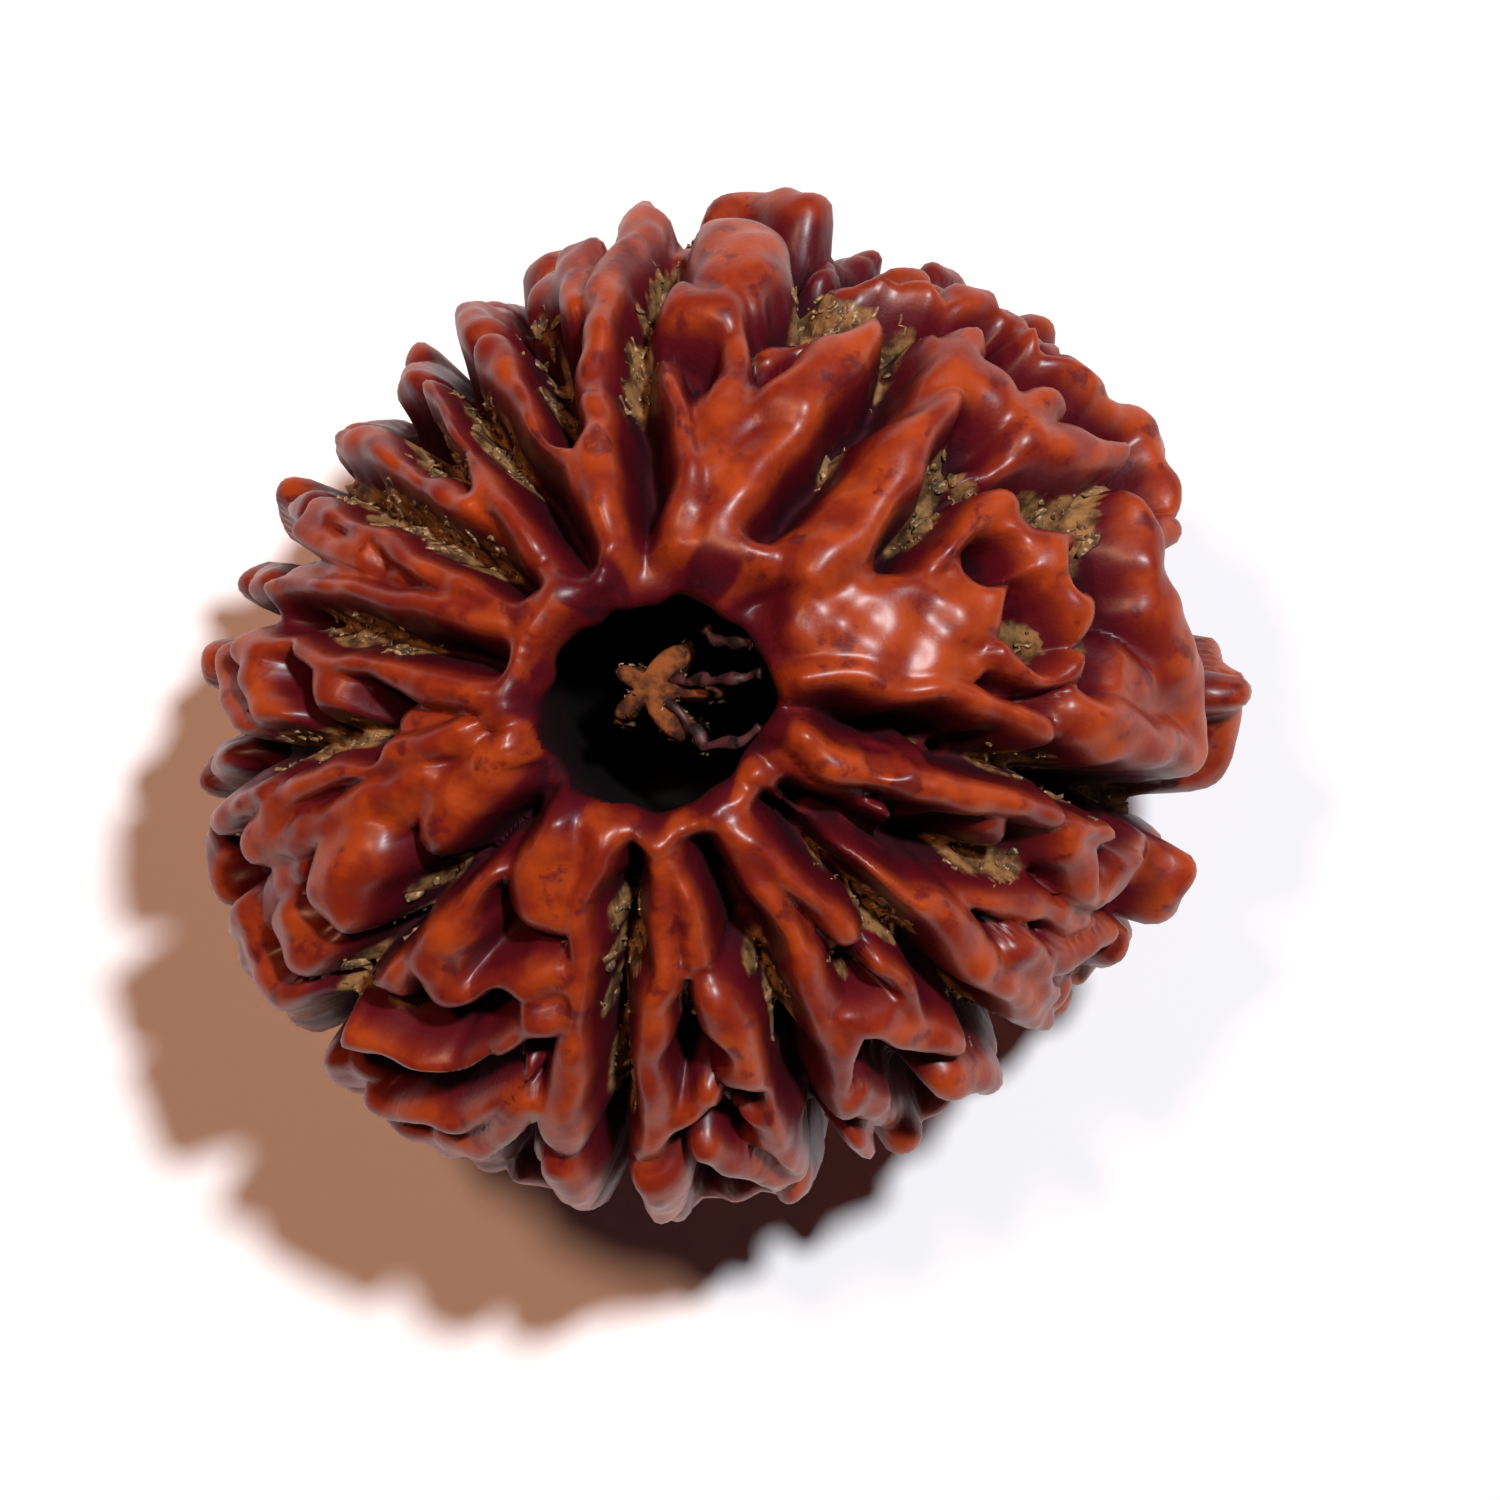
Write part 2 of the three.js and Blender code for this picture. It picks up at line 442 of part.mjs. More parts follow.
function beadGeometry() {
  const ball = new THREE.IcosahedronGeometry(1, gridDetail);
  ball.deleteAttribute("normal");
  ball.deleteAttribute("uv");
  const geometry = mergeVertices(ball, 1e-5);
  const position = geometry.getAttribute("position");
  const directions = Array.from({ length: position.count }, (_, i) =>
    new THREE.Vector3().fromBufferAttribute(position, i).normalize(),
  );
  let points = directions.map(beadPoint);
  const neighbours = neighboursOf(geometry.index.array, position.count);
  // Long steps on steep flanks are shortened: each direction leans to the side where
  // its neighbours lie further off.
  for (let round = 0; round < evenings; round++) {
    const moved = directions.map((direction, i) => {
      const pull = new THREE.Vector3();
      let weight = 0;
      for (const j of neighbours[i]) {
        const span = points[i].distanceTo(points[j]);
        pull.addScaledVector(directions[j], span);
        weight += span;
      }
      return direction.clone().lerp(pull.divideScalar(weight), 0.5).normalize();
    });
    moved.forEach((direction, i) => directions[i].copy(direction));
    points = directions.map(beadPoint);
  }
  for (let round = 0; round < easings; round++)
    points = points.map((point, i) => {
      const middle = new THREE.Vector3();
      for (const j of neighbours[i]) middle.add(points[j]);
      return middle.divideScalar(neighbours[i].size).lerp(point, 1 - easing);
    });
  // The flat spot takes off what lies below it.
  points.forEach((point, i) => position.setXYZ(i, point.x, point.y, Math.max(point.z, scarDepth - halfHeight)));
  geometry.computeVertexNormals();
  return geometry;
}

const bead = new THREE.Mesh(
  beadGeometry(),
  new THREE.MeshStandardMaterial({ color: 0x8a2f14, roughness: 0.35, metalness: 0 }),
);
bead.name = "rudraksha_bead";
bead.position.z = halfHeight - scarDepth;

const part = new THREE.Group();
part.add(bead);

export default part;
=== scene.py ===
import bpy
import numpy as np
from mathutils import Matrix, Vector


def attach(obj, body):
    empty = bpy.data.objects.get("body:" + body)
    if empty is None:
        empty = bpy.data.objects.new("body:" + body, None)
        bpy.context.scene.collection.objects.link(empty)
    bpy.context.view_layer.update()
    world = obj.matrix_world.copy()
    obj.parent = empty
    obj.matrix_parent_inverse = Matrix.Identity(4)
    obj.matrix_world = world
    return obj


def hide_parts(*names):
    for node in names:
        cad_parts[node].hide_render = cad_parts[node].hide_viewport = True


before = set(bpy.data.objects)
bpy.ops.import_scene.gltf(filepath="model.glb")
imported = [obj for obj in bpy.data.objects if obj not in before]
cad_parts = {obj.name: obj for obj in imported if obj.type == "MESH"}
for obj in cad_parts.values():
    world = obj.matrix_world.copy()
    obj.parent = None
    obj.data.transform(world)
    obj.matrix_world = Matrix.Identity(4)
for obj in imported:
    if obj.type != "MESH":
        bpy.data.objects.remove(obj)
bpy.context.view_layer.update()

mm = 0.001

# The crest surface is the smooth egg that touches the tops of most ribs, in millimetres and degrees.
# A noise is given as its amount, the length of its waves and the start of its random draw.
bead = {
    "meanRadius": 12.65,
    "stretch": 0.85,  # added along the long way, taken off across it
    "longWay": 40,
    "halfHeight": 10.6,
    "relief": 2.5,  # from the crest surface in to the valley floors
    "scarDepth": 0.8,  # how much the flat spot takes off the crest surface
    "blend": 0.13,  # how softly ribs run together
    "flankSlope": 0.16,  # run over rise of a rib's flank
    "furrowHalf": 0.45,
    "furrowDepth": 0.8,
    "furrowBite": 0.6,  # share of a rib's height that a furrow takes where they cross
    "furrowStart": (13, 27),  # polar angles between which the furrows begin
    "wander": (0.11, 2.6, (11, 12, 13)),  # noise by which ribs stray from their drawn crests
    "unevenness": (0.045, 1.4, 21),
    "collarShade": (0.45, 2.0, 51),  # how much darker the mouth's collar is in places
    "collarPlace": (13, 4),  # its polar angle, and how far it fades
    "roughFloor": (0.2, 1.1, 22),  # bumps on the valley floors
    "floorTop": (0.6, 1.6),  # heights between which they end
    "floorStart": (20, 35),  # polar angles between which they begin
    "shallowTop": (1.2, 20, 42),  # least height of a valley round the mouth, and where it fades
    "shallowSides": (0.4, 58, 75),
    "colourShares": (0.3, 0.7),  # of the relief, and of the ribs nearby, in the height that colours a place
    "fibreBed": 0.55,  # how far the fibre fills a furrow
    "fibreLumps": (0.12, 0.55, 41),
    "fibreRuns": (0.8, 3.5, 31),  # the stretches of the furrows that hold fibre
    "fibreStart": (6.5, 9),  # distances from the axis between which it begins
    "fibreTop": (0.9, 1.7),  # heights between which it ends
    "gridSteps": 126,  # faces along each edge of the cube that is blown up into the bead
    "quickSteps": 80,
}

mouth = {
    "angle": 11.5,  # of its edge, from the axis
    "stretch": 0.5,  # added to that angle at +X and -X, and taken off at +Y and -Y
    "ragged": 0.4,  # degrees
    "waves": [(9, 1, 1), (17, 2, 0.7), (5, 0, 1)],  # of the edge: how many, their shift and their share
    "lean": 4.5,  # how far the edge moves towards -Y, as a share of the ragged
    "wallShare": 0.5,  # of the lining, from the edge in; the rest is the floor
    "floor": 1.0,  # level above the bead's middle
    "belly": 3.3,
    "foot": 2.0,
    "stumpHeight": 5.8,
    "stumpRadius": 1.1,
    "stumpArm": 0.4,
    "stumpPoints": 5,
    "stumpEdge": 0.3,
    "stumpAside": (-0.55, 0.2),  # of the axis, towards +X and +Y
    "gridShare": 26,  # degrees of the grid, from the pole, that line the mouth
    "easeSpan": 3.4,  # degrees of the grid on each side of the edge that are eased
    "easeRounds": 24,
}

# Pits between the ribs as azimuth, polar angle, radius and depth in millimetres
hollows = [
    (21, 41.5, 0.62, 3.4), (15.5, 44.5, 0.3, 1), (274.5, 48, 0.7, 1.8), (176, 51.5, 0.5, 1.2),
    (181, 37, 0.45, 1), (238, 60, 0.6, 1.2), (346.5, 74, 1.1, 1.8), (338.5, 70, 0.6, 0.6),
    (280, 58, 0.6, 1),
    (110, 57, 0.5, 1), (73, 52, 0.5, 0.8), (347, 62, 0.7, 1.6), (346.5, 70, 0.85, 2.2),
    (346, 79, 0.85, 2.2),
    (352, 30, 0.45, 1.2), (351, 37, 0.45, 1.2), (350, 43, 0.45, 1), (25, 72, 0.6, 1.2), (54, 61, 0.5, 0.8),
    (343, 27.5, 0.4, 0.5),
]

# Where the furrows hold dry fibre: azimuth, polar angle, radius in millimetres, and how thick it lies
fibrePlaces = [
    (95, 43, 0.5, 0.8), (94.5, 49, 0.6, 0.9), (94, 57, 0.7, 1), (93, 66, 0.9, 1), (92, 75, 0.9, 1),
    (91, 84, 0.9, 1),
    (67.5, 58, 1.1, 1), (72, 59, 0.8, 1), (75, 46, 0.6, 0.6), (55, 57, 0.7, 0.7), (52, 55, 0.5, 0.6),
    (44, 61, 0.7, 0.8),
    (41, 62, 0.6, 0.8), (37, 65, 0.7, 0.9), (33, 68, 0.7, 0.9), (24, 66, 0.8, 1), (24, 60, 0.9, 1),
    (26, 55, 0.8, 0.9), (17, 58, 0.5, 0.7), (9, 47, 0.6, 1), (36, 46, 0.5, 0.8), (47, 58, 0.6, 0.7),
    (58, 52, 0.5, 0.6), (13, 57, 0.5, 0.7), (6, 48, 0.5, 0.9), (9, 55, 0.5, 0.6), (349, 50, 0.6, 0.7),
    (348.5, 55, 0.6, 0.7),
    (333, 52, 0.7, 0.8), (331, 57, 0.7, 0.8), (315, 34, 0.5, 0.5), (314, 42, 0.7, 0.8), (314, 48, 0.7, 0.9),
    (311, 46, 0.5, 0.7), (306, 43, 0.5, 0.6), (262, 29, 0.6, 0.9), (262, 35, 0.6, 0.9), (261, 42, 0.6, 0.7),
    (261, 50, 0.6, 0.5), (273, 42, 0.6, 0.7), (276, 46, 0.5, 0.6), (288, 40, 0.6, 0.6), (289, 46, 0.5, 0.6),
    (219.5, 40, 0.5, 0.7), (219.5, 47, 0.5, 0.6), (220, 57, 0.7, 0.8), (221.5, 63, 0.7, 0.8),
    (188, 42, 0.7, 0.9),
    (187, 48, 0.6, 0.6), (186, 54, 0.7, 0.8), (168, 45, 0.7, 0.9), (168, 52, 0.7, 0.7), (170, 36, 0.6, 0.6),
    (144, 31, 0.6, 0.8), (144.5, 38, 0.7, 1), (145.5, 45, 0.8, 1), (146, 52, 0.8, 1), (148, 60, 0.7, 0.8),
    (125, 48, 0.7, 0.9), (136, 50, 0.9, 1), (133, 43, 0.7, 0.9), (130, 54, 0.7, 0.9), (126, 38, 0.5, 0.6),
    (111, 51, 0.6, 0.7), (136, 57, 0.8, 0.9), (118, 62, 0.7, 0.6), (108, 72, 0.8, 0.7),
    (140, 50, 0.8, 0.9), (137, 45, 0.6, 0.8), (122, 55, 0.6, 0.8), (101, 66, 0.6, 0.7), (156, 66, 0.8, 0.7),
    (198, 66, 0.8, 0.8), (190, 47, 0.5, 0.7), (212, 51, 0.6, 0.7), (244, 50, 0.5, 0.6), (300, 47, 0.6, 0.7),
]

# Ribs read off the bead: half width, rise, then the crest as [azimuth, polar angle], with a third number
# where the rise there differs.
upperRibs = [
    # far side of the mouth, and the broad knob on the outer edge
    [0.75, 2.4, [80, 12.5, 1.2], [82, 16, 2.2], [84, 20], [87, 26], [89, 32], [91, 38], [93, 43, 2]],
    [1.5, 2, [79, 23], [78, 30], [77, 35]],
    [1.2, 2.1, [73, 18], [72, 26], [71, 34]],
    [1.4, 2.15, [62, 18], [61, 26], [59, 34], [57, 40]],
    [1.3, 2.15, [50, 20], [50, 28], [49, 35]],
    [0.8, 1.5, [91, 14], [92, 22], [93, 30]],
    [0.6, 2.3, [68, 12.5, 1.3], [69, 17, 2.1], [68, 23], [66, 29], [63, 35]],
    [0.9, 2.6, [66, 36], [63, 42], [60, 48], [57, 54]],
    [0.45, 2.1, [77, 33], [78, 39], [80, 45], [82, 49]],
    [1.5, 2.7, [84, 65], [81, 56]],
    [0.8, 2.6, [92, 53], [88, 51], [84, 49]],
    [0.8, 2.75, [90, 86], [86, 88], [81, 87], [77.5, 83]],
    [0.45, 1.4, [74, 46], [71, 49], [67, 51], [64, 52]],
    # the long rib left of it and the finger beyond
    [0.85, 2.4, [103, 13, 1.4], [104, 17, 2.3], [104, 24], [103, 30], [101, 36], [99, 39, 2.2]],
    [0.4, 2.3, [108, 18], [108, 24], [107, 31], [105, 38]],
    [0.8, 2.5, [102, 42, 2.1], [101, 49], [100, 56], [99, 63], [97, 71], [96, 78, 2.8], [96, 84, 2.9]],
    [0.6, 2.3, [106, 60], [105, 67], [104, 74, 2.6]],
    [0.7, 2.2, [111, 13, 1.2], [111, 20], [112, 26], [114, 33], [116, 40], [118, 48], [119, 56, 2.5]],
    [0.8, 2.5, [119, 64], [121, 71], [121, 78]],
    [0.8, 1.5, [91.5, 70], [91, 78], [91, 87]],
    # upper left
    [0.8, 2, [127, 13, 1.2], [129, 19], [130, 25]],
    [0.5, 2.3, [130, 24], [130, 31], [128, 38], [127, 42]],
    [0.55, 2.3, [128, 46], [129, 53], [129.5, 61]],
    [0.6, 2.2, [134, 28, 1.6], [136, 34], [138.5, 40], [141, 46], [142, 53]],
    [0.85, 2.5, [142, 54], [143.5, 65]],
    [0.45, 2.4, [145, 62], [146.5, 70]],
    [0.65, 2.3, [144, 14, 1.4], [147, 19], [149, 25], [150, 31], [149.5, 38], [149, 44],
        [149, 50], [149, 56]],
    [0.5, 2.3, [151, 56], [152, 61]],
    [0.5, 2.2, [155, 45], [156, 52], [155, 60, 2.4]],
    [0.6, 1.7, [153, 24], [154, 31], [154, 38], [156, 44]],
    [0.6, 2.3, [158, 14, 1.4], [160, 20], [161, 27], [162, 34], [163, 41], [164, 48],
        [165, 55], [167, 62, 2.5]],
    [0.9, 1.9, [160, 46], [162, 54], [165, 62]],
    # left
    [0.6, 2.3, [182, 14, 1.4], [180, 20], [177, 27], [174, 34], [172, 40], [171, 47],
        [170.5, 54], [172, 62, 2.6]],
    [0.8, 2.1, [173, 44], [177, 43], [181, 41.5], [185, 41]],
    [0.65, 2.4, [172, 60], [176, 58], [180, 55], [184, 51]],
    [0.5, 2.3, [174, 72], [177, 68], [181, 63], [185, 57]],
    [0.5, 1.6, [185, 24], [186, 30], [188, 35]],
    [0.8, 1.5, [190, 18], [190, 25], [190, 31]],
    [0.45, 2.3, [198, 12.5, 1.5], [200, 16], [203, 20]],
    [1.1, 2.2, [205, 21], [209, 26], [212, 29]],
    [0.5, 2.3, [193, 22], [192, 29], [191.5, 36], [191.5, 42], [193, 48], [196, 54], [199, 60]],
    [0.6, 2.2, [199, 28], [199.5, 36], [200, 44], [200, 52], [199.5, 59]],
    [0.6, 2.5, [191, 54], [192, 61], [194, 68]],
    [0.6, 2.35, [193, 74], [197, 78], [201, 77]],
    # lower left, with the big round knob
    [0.6, 2, [201, 27], [202, 32], [204, 36]],
    [1.35, 2.7, [208, 41], [211, 45]],
    [0.7, 1.9, [204, 53], [205, 60], [207, 67]],
    [0.9, 2.4, [211, 57], [214, 59], [217, 56]],
    [0.7, 2.6, [213, 70], [216, 69], [219, 65]],
    [0.5, 2.4, [205.5, 68], [206.5, 76]],
    [0.6, 2.4, [209, 70], [211, 78]],
    [0.5, 2.3, [230, 13, 1.5], [232, 17], [234, 20]],
    [1.2, 2.2, [235, 20], [239, 24], [243, 27]],
    [0.4, 2, [246, 19], [248, 24], [248, 28]],
    [0.5, 2.3, [226.5, 27], [227, 33]],
    [0.95, 2.5, [227, 36], [228, 39]],
    [0.6, 2.2, [226, 42], [225, 48], [223.5, 54]],
    [0.8, 2.3, [230, 41], [234, 43], [238, 43], [242, 40], [246, 37], [250, 36]],
    [0.55, 2.5, [224, 61], [227, 58], [231, 56], [236, 55], [239.5, 51], [242, 46], [246, 42], [250, 41]],
    [0.9, 2.5, [224, 63], [227, 60]],
    [0.5, 2.4, [231, 74], [237, 70], [242, 64], [245, 57], [247, 51]],
    [0.45, 2.35, [234, 77], [240, 76], [245, 69], [248, 61], [251, 56]],
    [0.6, 2.3, [224, 74], [225.5, 80]],
    # near side
    [0.55, 2.3, [250, 14, 1.5], [252, 18], [253.5, 24], [254.5, 31], [255.5, 38], [256, 45]],
    [0.85, 2.5, [256, 46], [256, 54], [256, 61]],
    [0.7, 2.7, [255.5, 68], [257, 75], [257.5, 81]],
    [0.55, 2.2, [267, 15, 1.6], [268, 21], [269.5, 27], [271, 33]],
    [0.55, 2.2, [276, 15, 1.6], [278, 21], [279, 27], [280.5, 33]],
    [0.45, 2.1, [271, 34], [276, 35], [280, 34]],
    [0.65, 2.4, [270, 36.5], [267, 39], [266.5, 45], [266.5, 52], [266, 58], [265.5, 64]],
    [0.45, 2.2, [266, 62], [269, 59], [272.5, 56.5], [275, 55], [278, 57], [281, 63], [282, 70]],
    [0.9, 2.5, [281.5, 40], [281.5, 46], [282, 51]],
    [0.4, 2.3, [283, 53], [283.5, 58]],
    [0.65, 2.5, [284, 60], [284.5, 67], [284, 74], [282, 82]],
    [0.75, 2.8, [266, 70], [266, 77], [266, 85]],
    [0.5, 2.5, [273, 66], [276, 73], [279, 81], [279, 87]],
    # lower right
    [0.65, 2.2, [295, 15, 1.5], [296, 20], [296, 27], [295, 34], [295, 39]],
    [0.6, 2.3, [303, 15, 1.5], [304, 22], [306, 29], [307.5, 35], [309, 40]],
    [0.9, 1.6, [300, 24], [301, 30], [301, 36]],
    [0.95, 2.3, [296, 41], [295, 46], [294, 51]],
    [0.5, 2.4, [290.5, 69], [291, 62], [294, 56], [299, 51.5], [303, 55], [305, 61], [307, 67]],
    [0.7, 2.4, [310, 48], [309.5, 54], [309, 60], [308, 67]],
    [0.6, 2.8, [305, 74], [307, 81], [308, 88]],
    [0.55, 2.3, [293.5, 66], [294, 73]],
    [0.6, 2.8, [289, 78], [289, 86]],
    [0.9, 2.5, [325, 33], [322, 37], [320.5, 42], [319.5, 48], [318.5, 55]],
    [0.85, 2.6, [319, 59], [318, 65], [317, 72], [316, 81], [316, 88]],
    [0.45, 2.5, [324, 62], [322, 70], [320, 80]],
    [0.45, 2, [338, 47], [336, 50]],
    [0.45, 2, [326, 49], [328, 54], [329, 60], [330, 67], [331, 75]],
    [0.45, 2.4, [324, 70], [327, 78], [330, 84]],
    [0.5, 1.9, [318, 16], [320, 21]],
    [0.5, 2.5, [340, 12.5, 1.6], [340, 18], [340, 26], [340.5, 33], [341, 39], [342, 46], [343.5, 54]],
    [0.5, 1.9, [351, 13, 1.4], [350, 19], [348.5, 26], [347.5, 33]],
    [0.7, 1.9, [333, 18], [330, 24], [327, 30]],
    [0.6, 2.4, [341, 58.5], [343, 62], [343, 68], [341.5, 74], [340, 78, 2.2], [338.5, 80, 2],
        [336.5, 78, 2],
        [335.5, 72, 2.3], [336, 66], [337.5, 61], [341, 58.5]],
    [0.6, 3.2, [340, 92], [337, 94]],
    [1.4, 2.15, [340.5, 65], [339, 71], [338, 77]],
    # right, the plate beside the mouth
    [0.65, 2.5, [9, 12.5, 1.5], [4, 16], [1, 21], [359.5, 27], [358, 32], [356, 37],
        [354, 42], [353.5, 47]],
    [0.4, 2.6, [5, 41], [3.5, 45], [3, 51]],
    [1.2, 2.2, [14, 15, 1.4], [14, 21], [13, 28], [12, 34]],
    [1.1, 2.25, [6, 20], [6, 27], [5, 34]],
    [0.9, 2.2, [22, 18], [21, 25], [19, 31], [16, 35]],
    [0.8, 2.05, [23, 29], [22.5, 36]],
    [0.5, 1.9, [26, 40], [24.5, 45]],
    [1.3, 2.5, [14, 37], [14.5, 43]],
    [0.8, 2.3, [24, 44], [20, 46]],
    [1.1, 2.45, [18, 48], [16.5, 51]],
    [0.5, 2.2, [11, 36], [7, 38], [4, 38]],
    [0.55, 2.4, [24, 28, 1.9], [28, 34], [30, 39.5], [29.5, 45]],
    [0.5, 2.1, [28, 46], [24, 47.5], [21, 48]],
    [1, 2.6, [18.5, 50], [14, 51], [11, 50.5]],
    # right, the trunk-like lobe
    [1, 2.7, [357, 54], [355, 59], [354, 65], [353, 72], [354, 79]],
    [0.9, 2.6, [21, 67], [16, 65], [12, 66], [8, 69], [4, 73], [1, 78], [358, 81], [355, 80]],
    [1.7, 2.1, [2, 59], [0, 66], [358, 74]],
    [0.45, 3.3, [2, 88], [1, 92]],
    [0.7, 3.2, [1, 95], [357, 98], [353, 98, 3], [349, 95, 2.5]],
    # upper right
    [0.6, 2.45, [36, 49, 1.9], [34.5, 54], [32.5, 59], [31, 64], [29, 69]],
    [0.6, 2.45, [36, 53], [38, 58], [38.5, 61]],
    [0.55, 2.2, [35.5, 74], [33.5, 78], [31, 82, 2.5], [29, 86]],
    [0.65, 2.45, [28, 81], [25.5, 80], [23, 78]],
    [0.6, 2.4, [20, 62], [20.5, 68], [20, 74]],
    [0.5, 2.2, [48, 66, 1.9], [46, 67.5, 2.5], [43.5, 68.5, 2.1], [40.5, 69.5, 2.4], [37.5, 71, 2.5]],
    [0.4, 2.2, [47.5, 69], [48.5, 72]],
    [0.4, 2, [44, 73], [43, 74.5]],
    [0.5, 2.3, [40, 73], [38, 74.5]],
    [0.5, 1.9, [36, 67], [34, 70]],
    [0.6, 1.6, [47, 77], [42, 80], [37, 84]],
    [0.6, 2.1, [50, 13, 1.4], [49, 18], [47, 23]],
    [0.9, 2.6, [38, 22], [38.5, 27], [40, 32], [42, 37]],
    [1.15, 2.8, [42, 37], [43, 42], [42.5, 45]],
    [0.5, 2.3, [49, 26], [45, 28.5], [41, 30]],
    [0.85, 2.2, [27, 15, 1.4], [28, 19], [31, 23], [35, 27], [38, 30]],
    [0.85, 2.5, [52, 44], [50, 49], [49.5, 54], [50, 60], [50, 64]],
    [0.95, 2.5, [48, 50], [45, 53], [42.5, 54]],
    [0.8, 2, [51, 36], [49, 40], [47, 44]],
    [0.55, 2.1, [68, 61, 1.8], [64.5, 61, 2.3], [62, 62, 2], [58.5, 63.5, 2.4], [56, 66, 1.9],
        [53.5, 68, 2.3], [50.5, 70]],
    [0.5, 2.1, [63, 67], [61, 69]],
    [0.45, 2.2, [56, 70], [54, 71.5]],
    [0.4, 2, [51, 73], [49.5, 73.5]],
    [0.6, 1.5, [64, 72], [58, 76], [52, 79]],
    [0.9, 2.2, [57, 12.5, 1.4], [58, 16], [59, 21]],
    # the collar round the mouth
    [0.55, 2.2, [118, 16], [130, 16.5], [145, 16.5], [160, 17], [175, 17.5], [188, 18]],
    [0.5, 1.3, [125, 12], [140, 12], [155, 12], [170, 12], [190, 12]],
    [0.5, 2, [243, 17], [252, 17.5, 2.2], [262, 15.5], [270, 18, 2.25], [280, 15.5], [289, 18, 2.2],
        [299, 16.5], [308, 19]],
    [0.4, 1.3, [240, 12.5], [262, 12.3], [280, 12.5], [293, 12], [310, 12.5]],
]

# Furrows read off the bead, as [azimuth, polar angle]
upperFurrows = [
    [[90, 12], [92, 20], [93, 30], [95, 40], [94, 50], [93, 60], [92, 68]],
    [[110, 36], [110, 44], [110, 52], [111, 60], [112, 70]],
    [[120, 18], [121, 26], [122.5, 34], [124, 42], [124.5, 50], [125, 58], [125, 84]],
    [[134, 46], [133, 54], [134, 62], [136, 72]],
    [[142, 22], [143, 28], [144.5, 35], [145.5, 42], [146, 50], [146.5, 58], [148, 84]],
    [[167, 20], [168, 28], [168, 40], [168, 48], [168.5, 56], [169, 84]],
    [[188, 36], [187, 42], [187, 50], [188, 56], [192, 84]],
    [[224, 14], [222, 20], [221, 27], [220, 34], [219.5, 41], [219.5, 48], [220, 56], [221, 64], [221, 84]],
    [[261, 20], [261, 24], [262, 31], [262, 38], [261, 46], [261, 54], [261, 62], [261, 84]],
    [[286, 20], [287, 24], [288, 31], [289, 38], [289, 46], [288, 54], [287, 62], [287, 84]],
    [[313, 21], [313.5, 24], [314.5, 31], [315, 38], [314, 46], [313, 54], [312, 62], [313, 84]],
    [[356, 14], [353.5, 20], [352.5, 27], [351.5, 34], [350.5, 41], [348.5, 48], [347, 56],
        [346.5, 66], [346.5, 84]],
    [[56, 22], [54, 28], [54, 34], [54, 40], [54.5, 46], [58, 56], [64, 58], [70, 58]],
    [[31, 31], [34, 37], [38, 43], [40, 48]],
    [[48, 64], [44, 63], [40, 65], [36, 68.5], [33, 71]],
    [[60, 57], [56, 59.5], [53, 62], [50, 66]],
    [[28, 74], [25, 72], [23, 70]],
    [[17, 53], [17, 58], [13, 60], [9, 58]],
    [[12, 44.5], [10, 45], [7, 46]],
    [[26, 51], [25, 56], [22, 59], [17, 58], [12, 58], [7, 56], [3, 54]],
    [[224, 55], [228, 53], [232, 51.5], [236, 50.5], [239, 47], [242, 42]],
    [[226, 66], [231, 63.5], [236, 62], [241, 57], [245, 51]],
    [[337, 54], [333, 53], [330, 47], [327, 40], [325, 27], [322, 22]],
]

# The underside repeats the upper half's manner by rule: furrows run on to the scar, with columns of ribs
# between them.
underside = {
    "furrows": [20, 54, 92, 125, 148, 169, 192, 221, 261, 287, 313, 347.5],
    "furrowStops": (84, 100, 116, 132, 148, 162),
    "columnWidth": 11.5,
    "tiers": [(95, 109, 2.5, True), (112, 127, 2.5, True), (130, 147, 2.3, True), (149, 167, 2.2, False)],
    "strayTop": 4,  # degrees
    "strayBottom": 3,
    "half": (0.5, 0.9),
    "strayRise": (-0.25, 0.35),
    "sway": 2.5,
    "strayWaist": 2,
    "leastRise": 0.1,  # over a rib's half width
    "spurChance": 0.45,
    "spurRoot": 4,
    "spurTip": 5,
    "spurHalf": 0.45,
    "spurDrop": 0.3,
    "leadOver": 22,  # the uppermost of them start low, that many degrees higher up
    "leadRise": 2.0,
    "flats": [(8, 24, 1.5), (24, 75, 0.8)],  # azimuths between which the ribs are lower, and by how much
    "seed": 4127,
    "scarRadius": 2.6,
    "scarProud": 0.25,
}


def draws(start):  # repeatable numbers between 0 and 1
    state = start
    while True:
        state = (state * 16807) % 2147483647
        yield state / 2147483647


def crestPoint(azimuth, polar):
    a, p = np.radians(azimuth), np.radians(polar)
    radius = bead["meanRadius"] + bead["stretch"] * np.cos(2 * (a - np.radians(bead["longWay"])))
    return np.stack(
        [radius * np.sin(p) * np.cos(a), radius * np.sin(p) * np.sin(a), bead["halfHeight"] * np.cos(p)], -1
    )


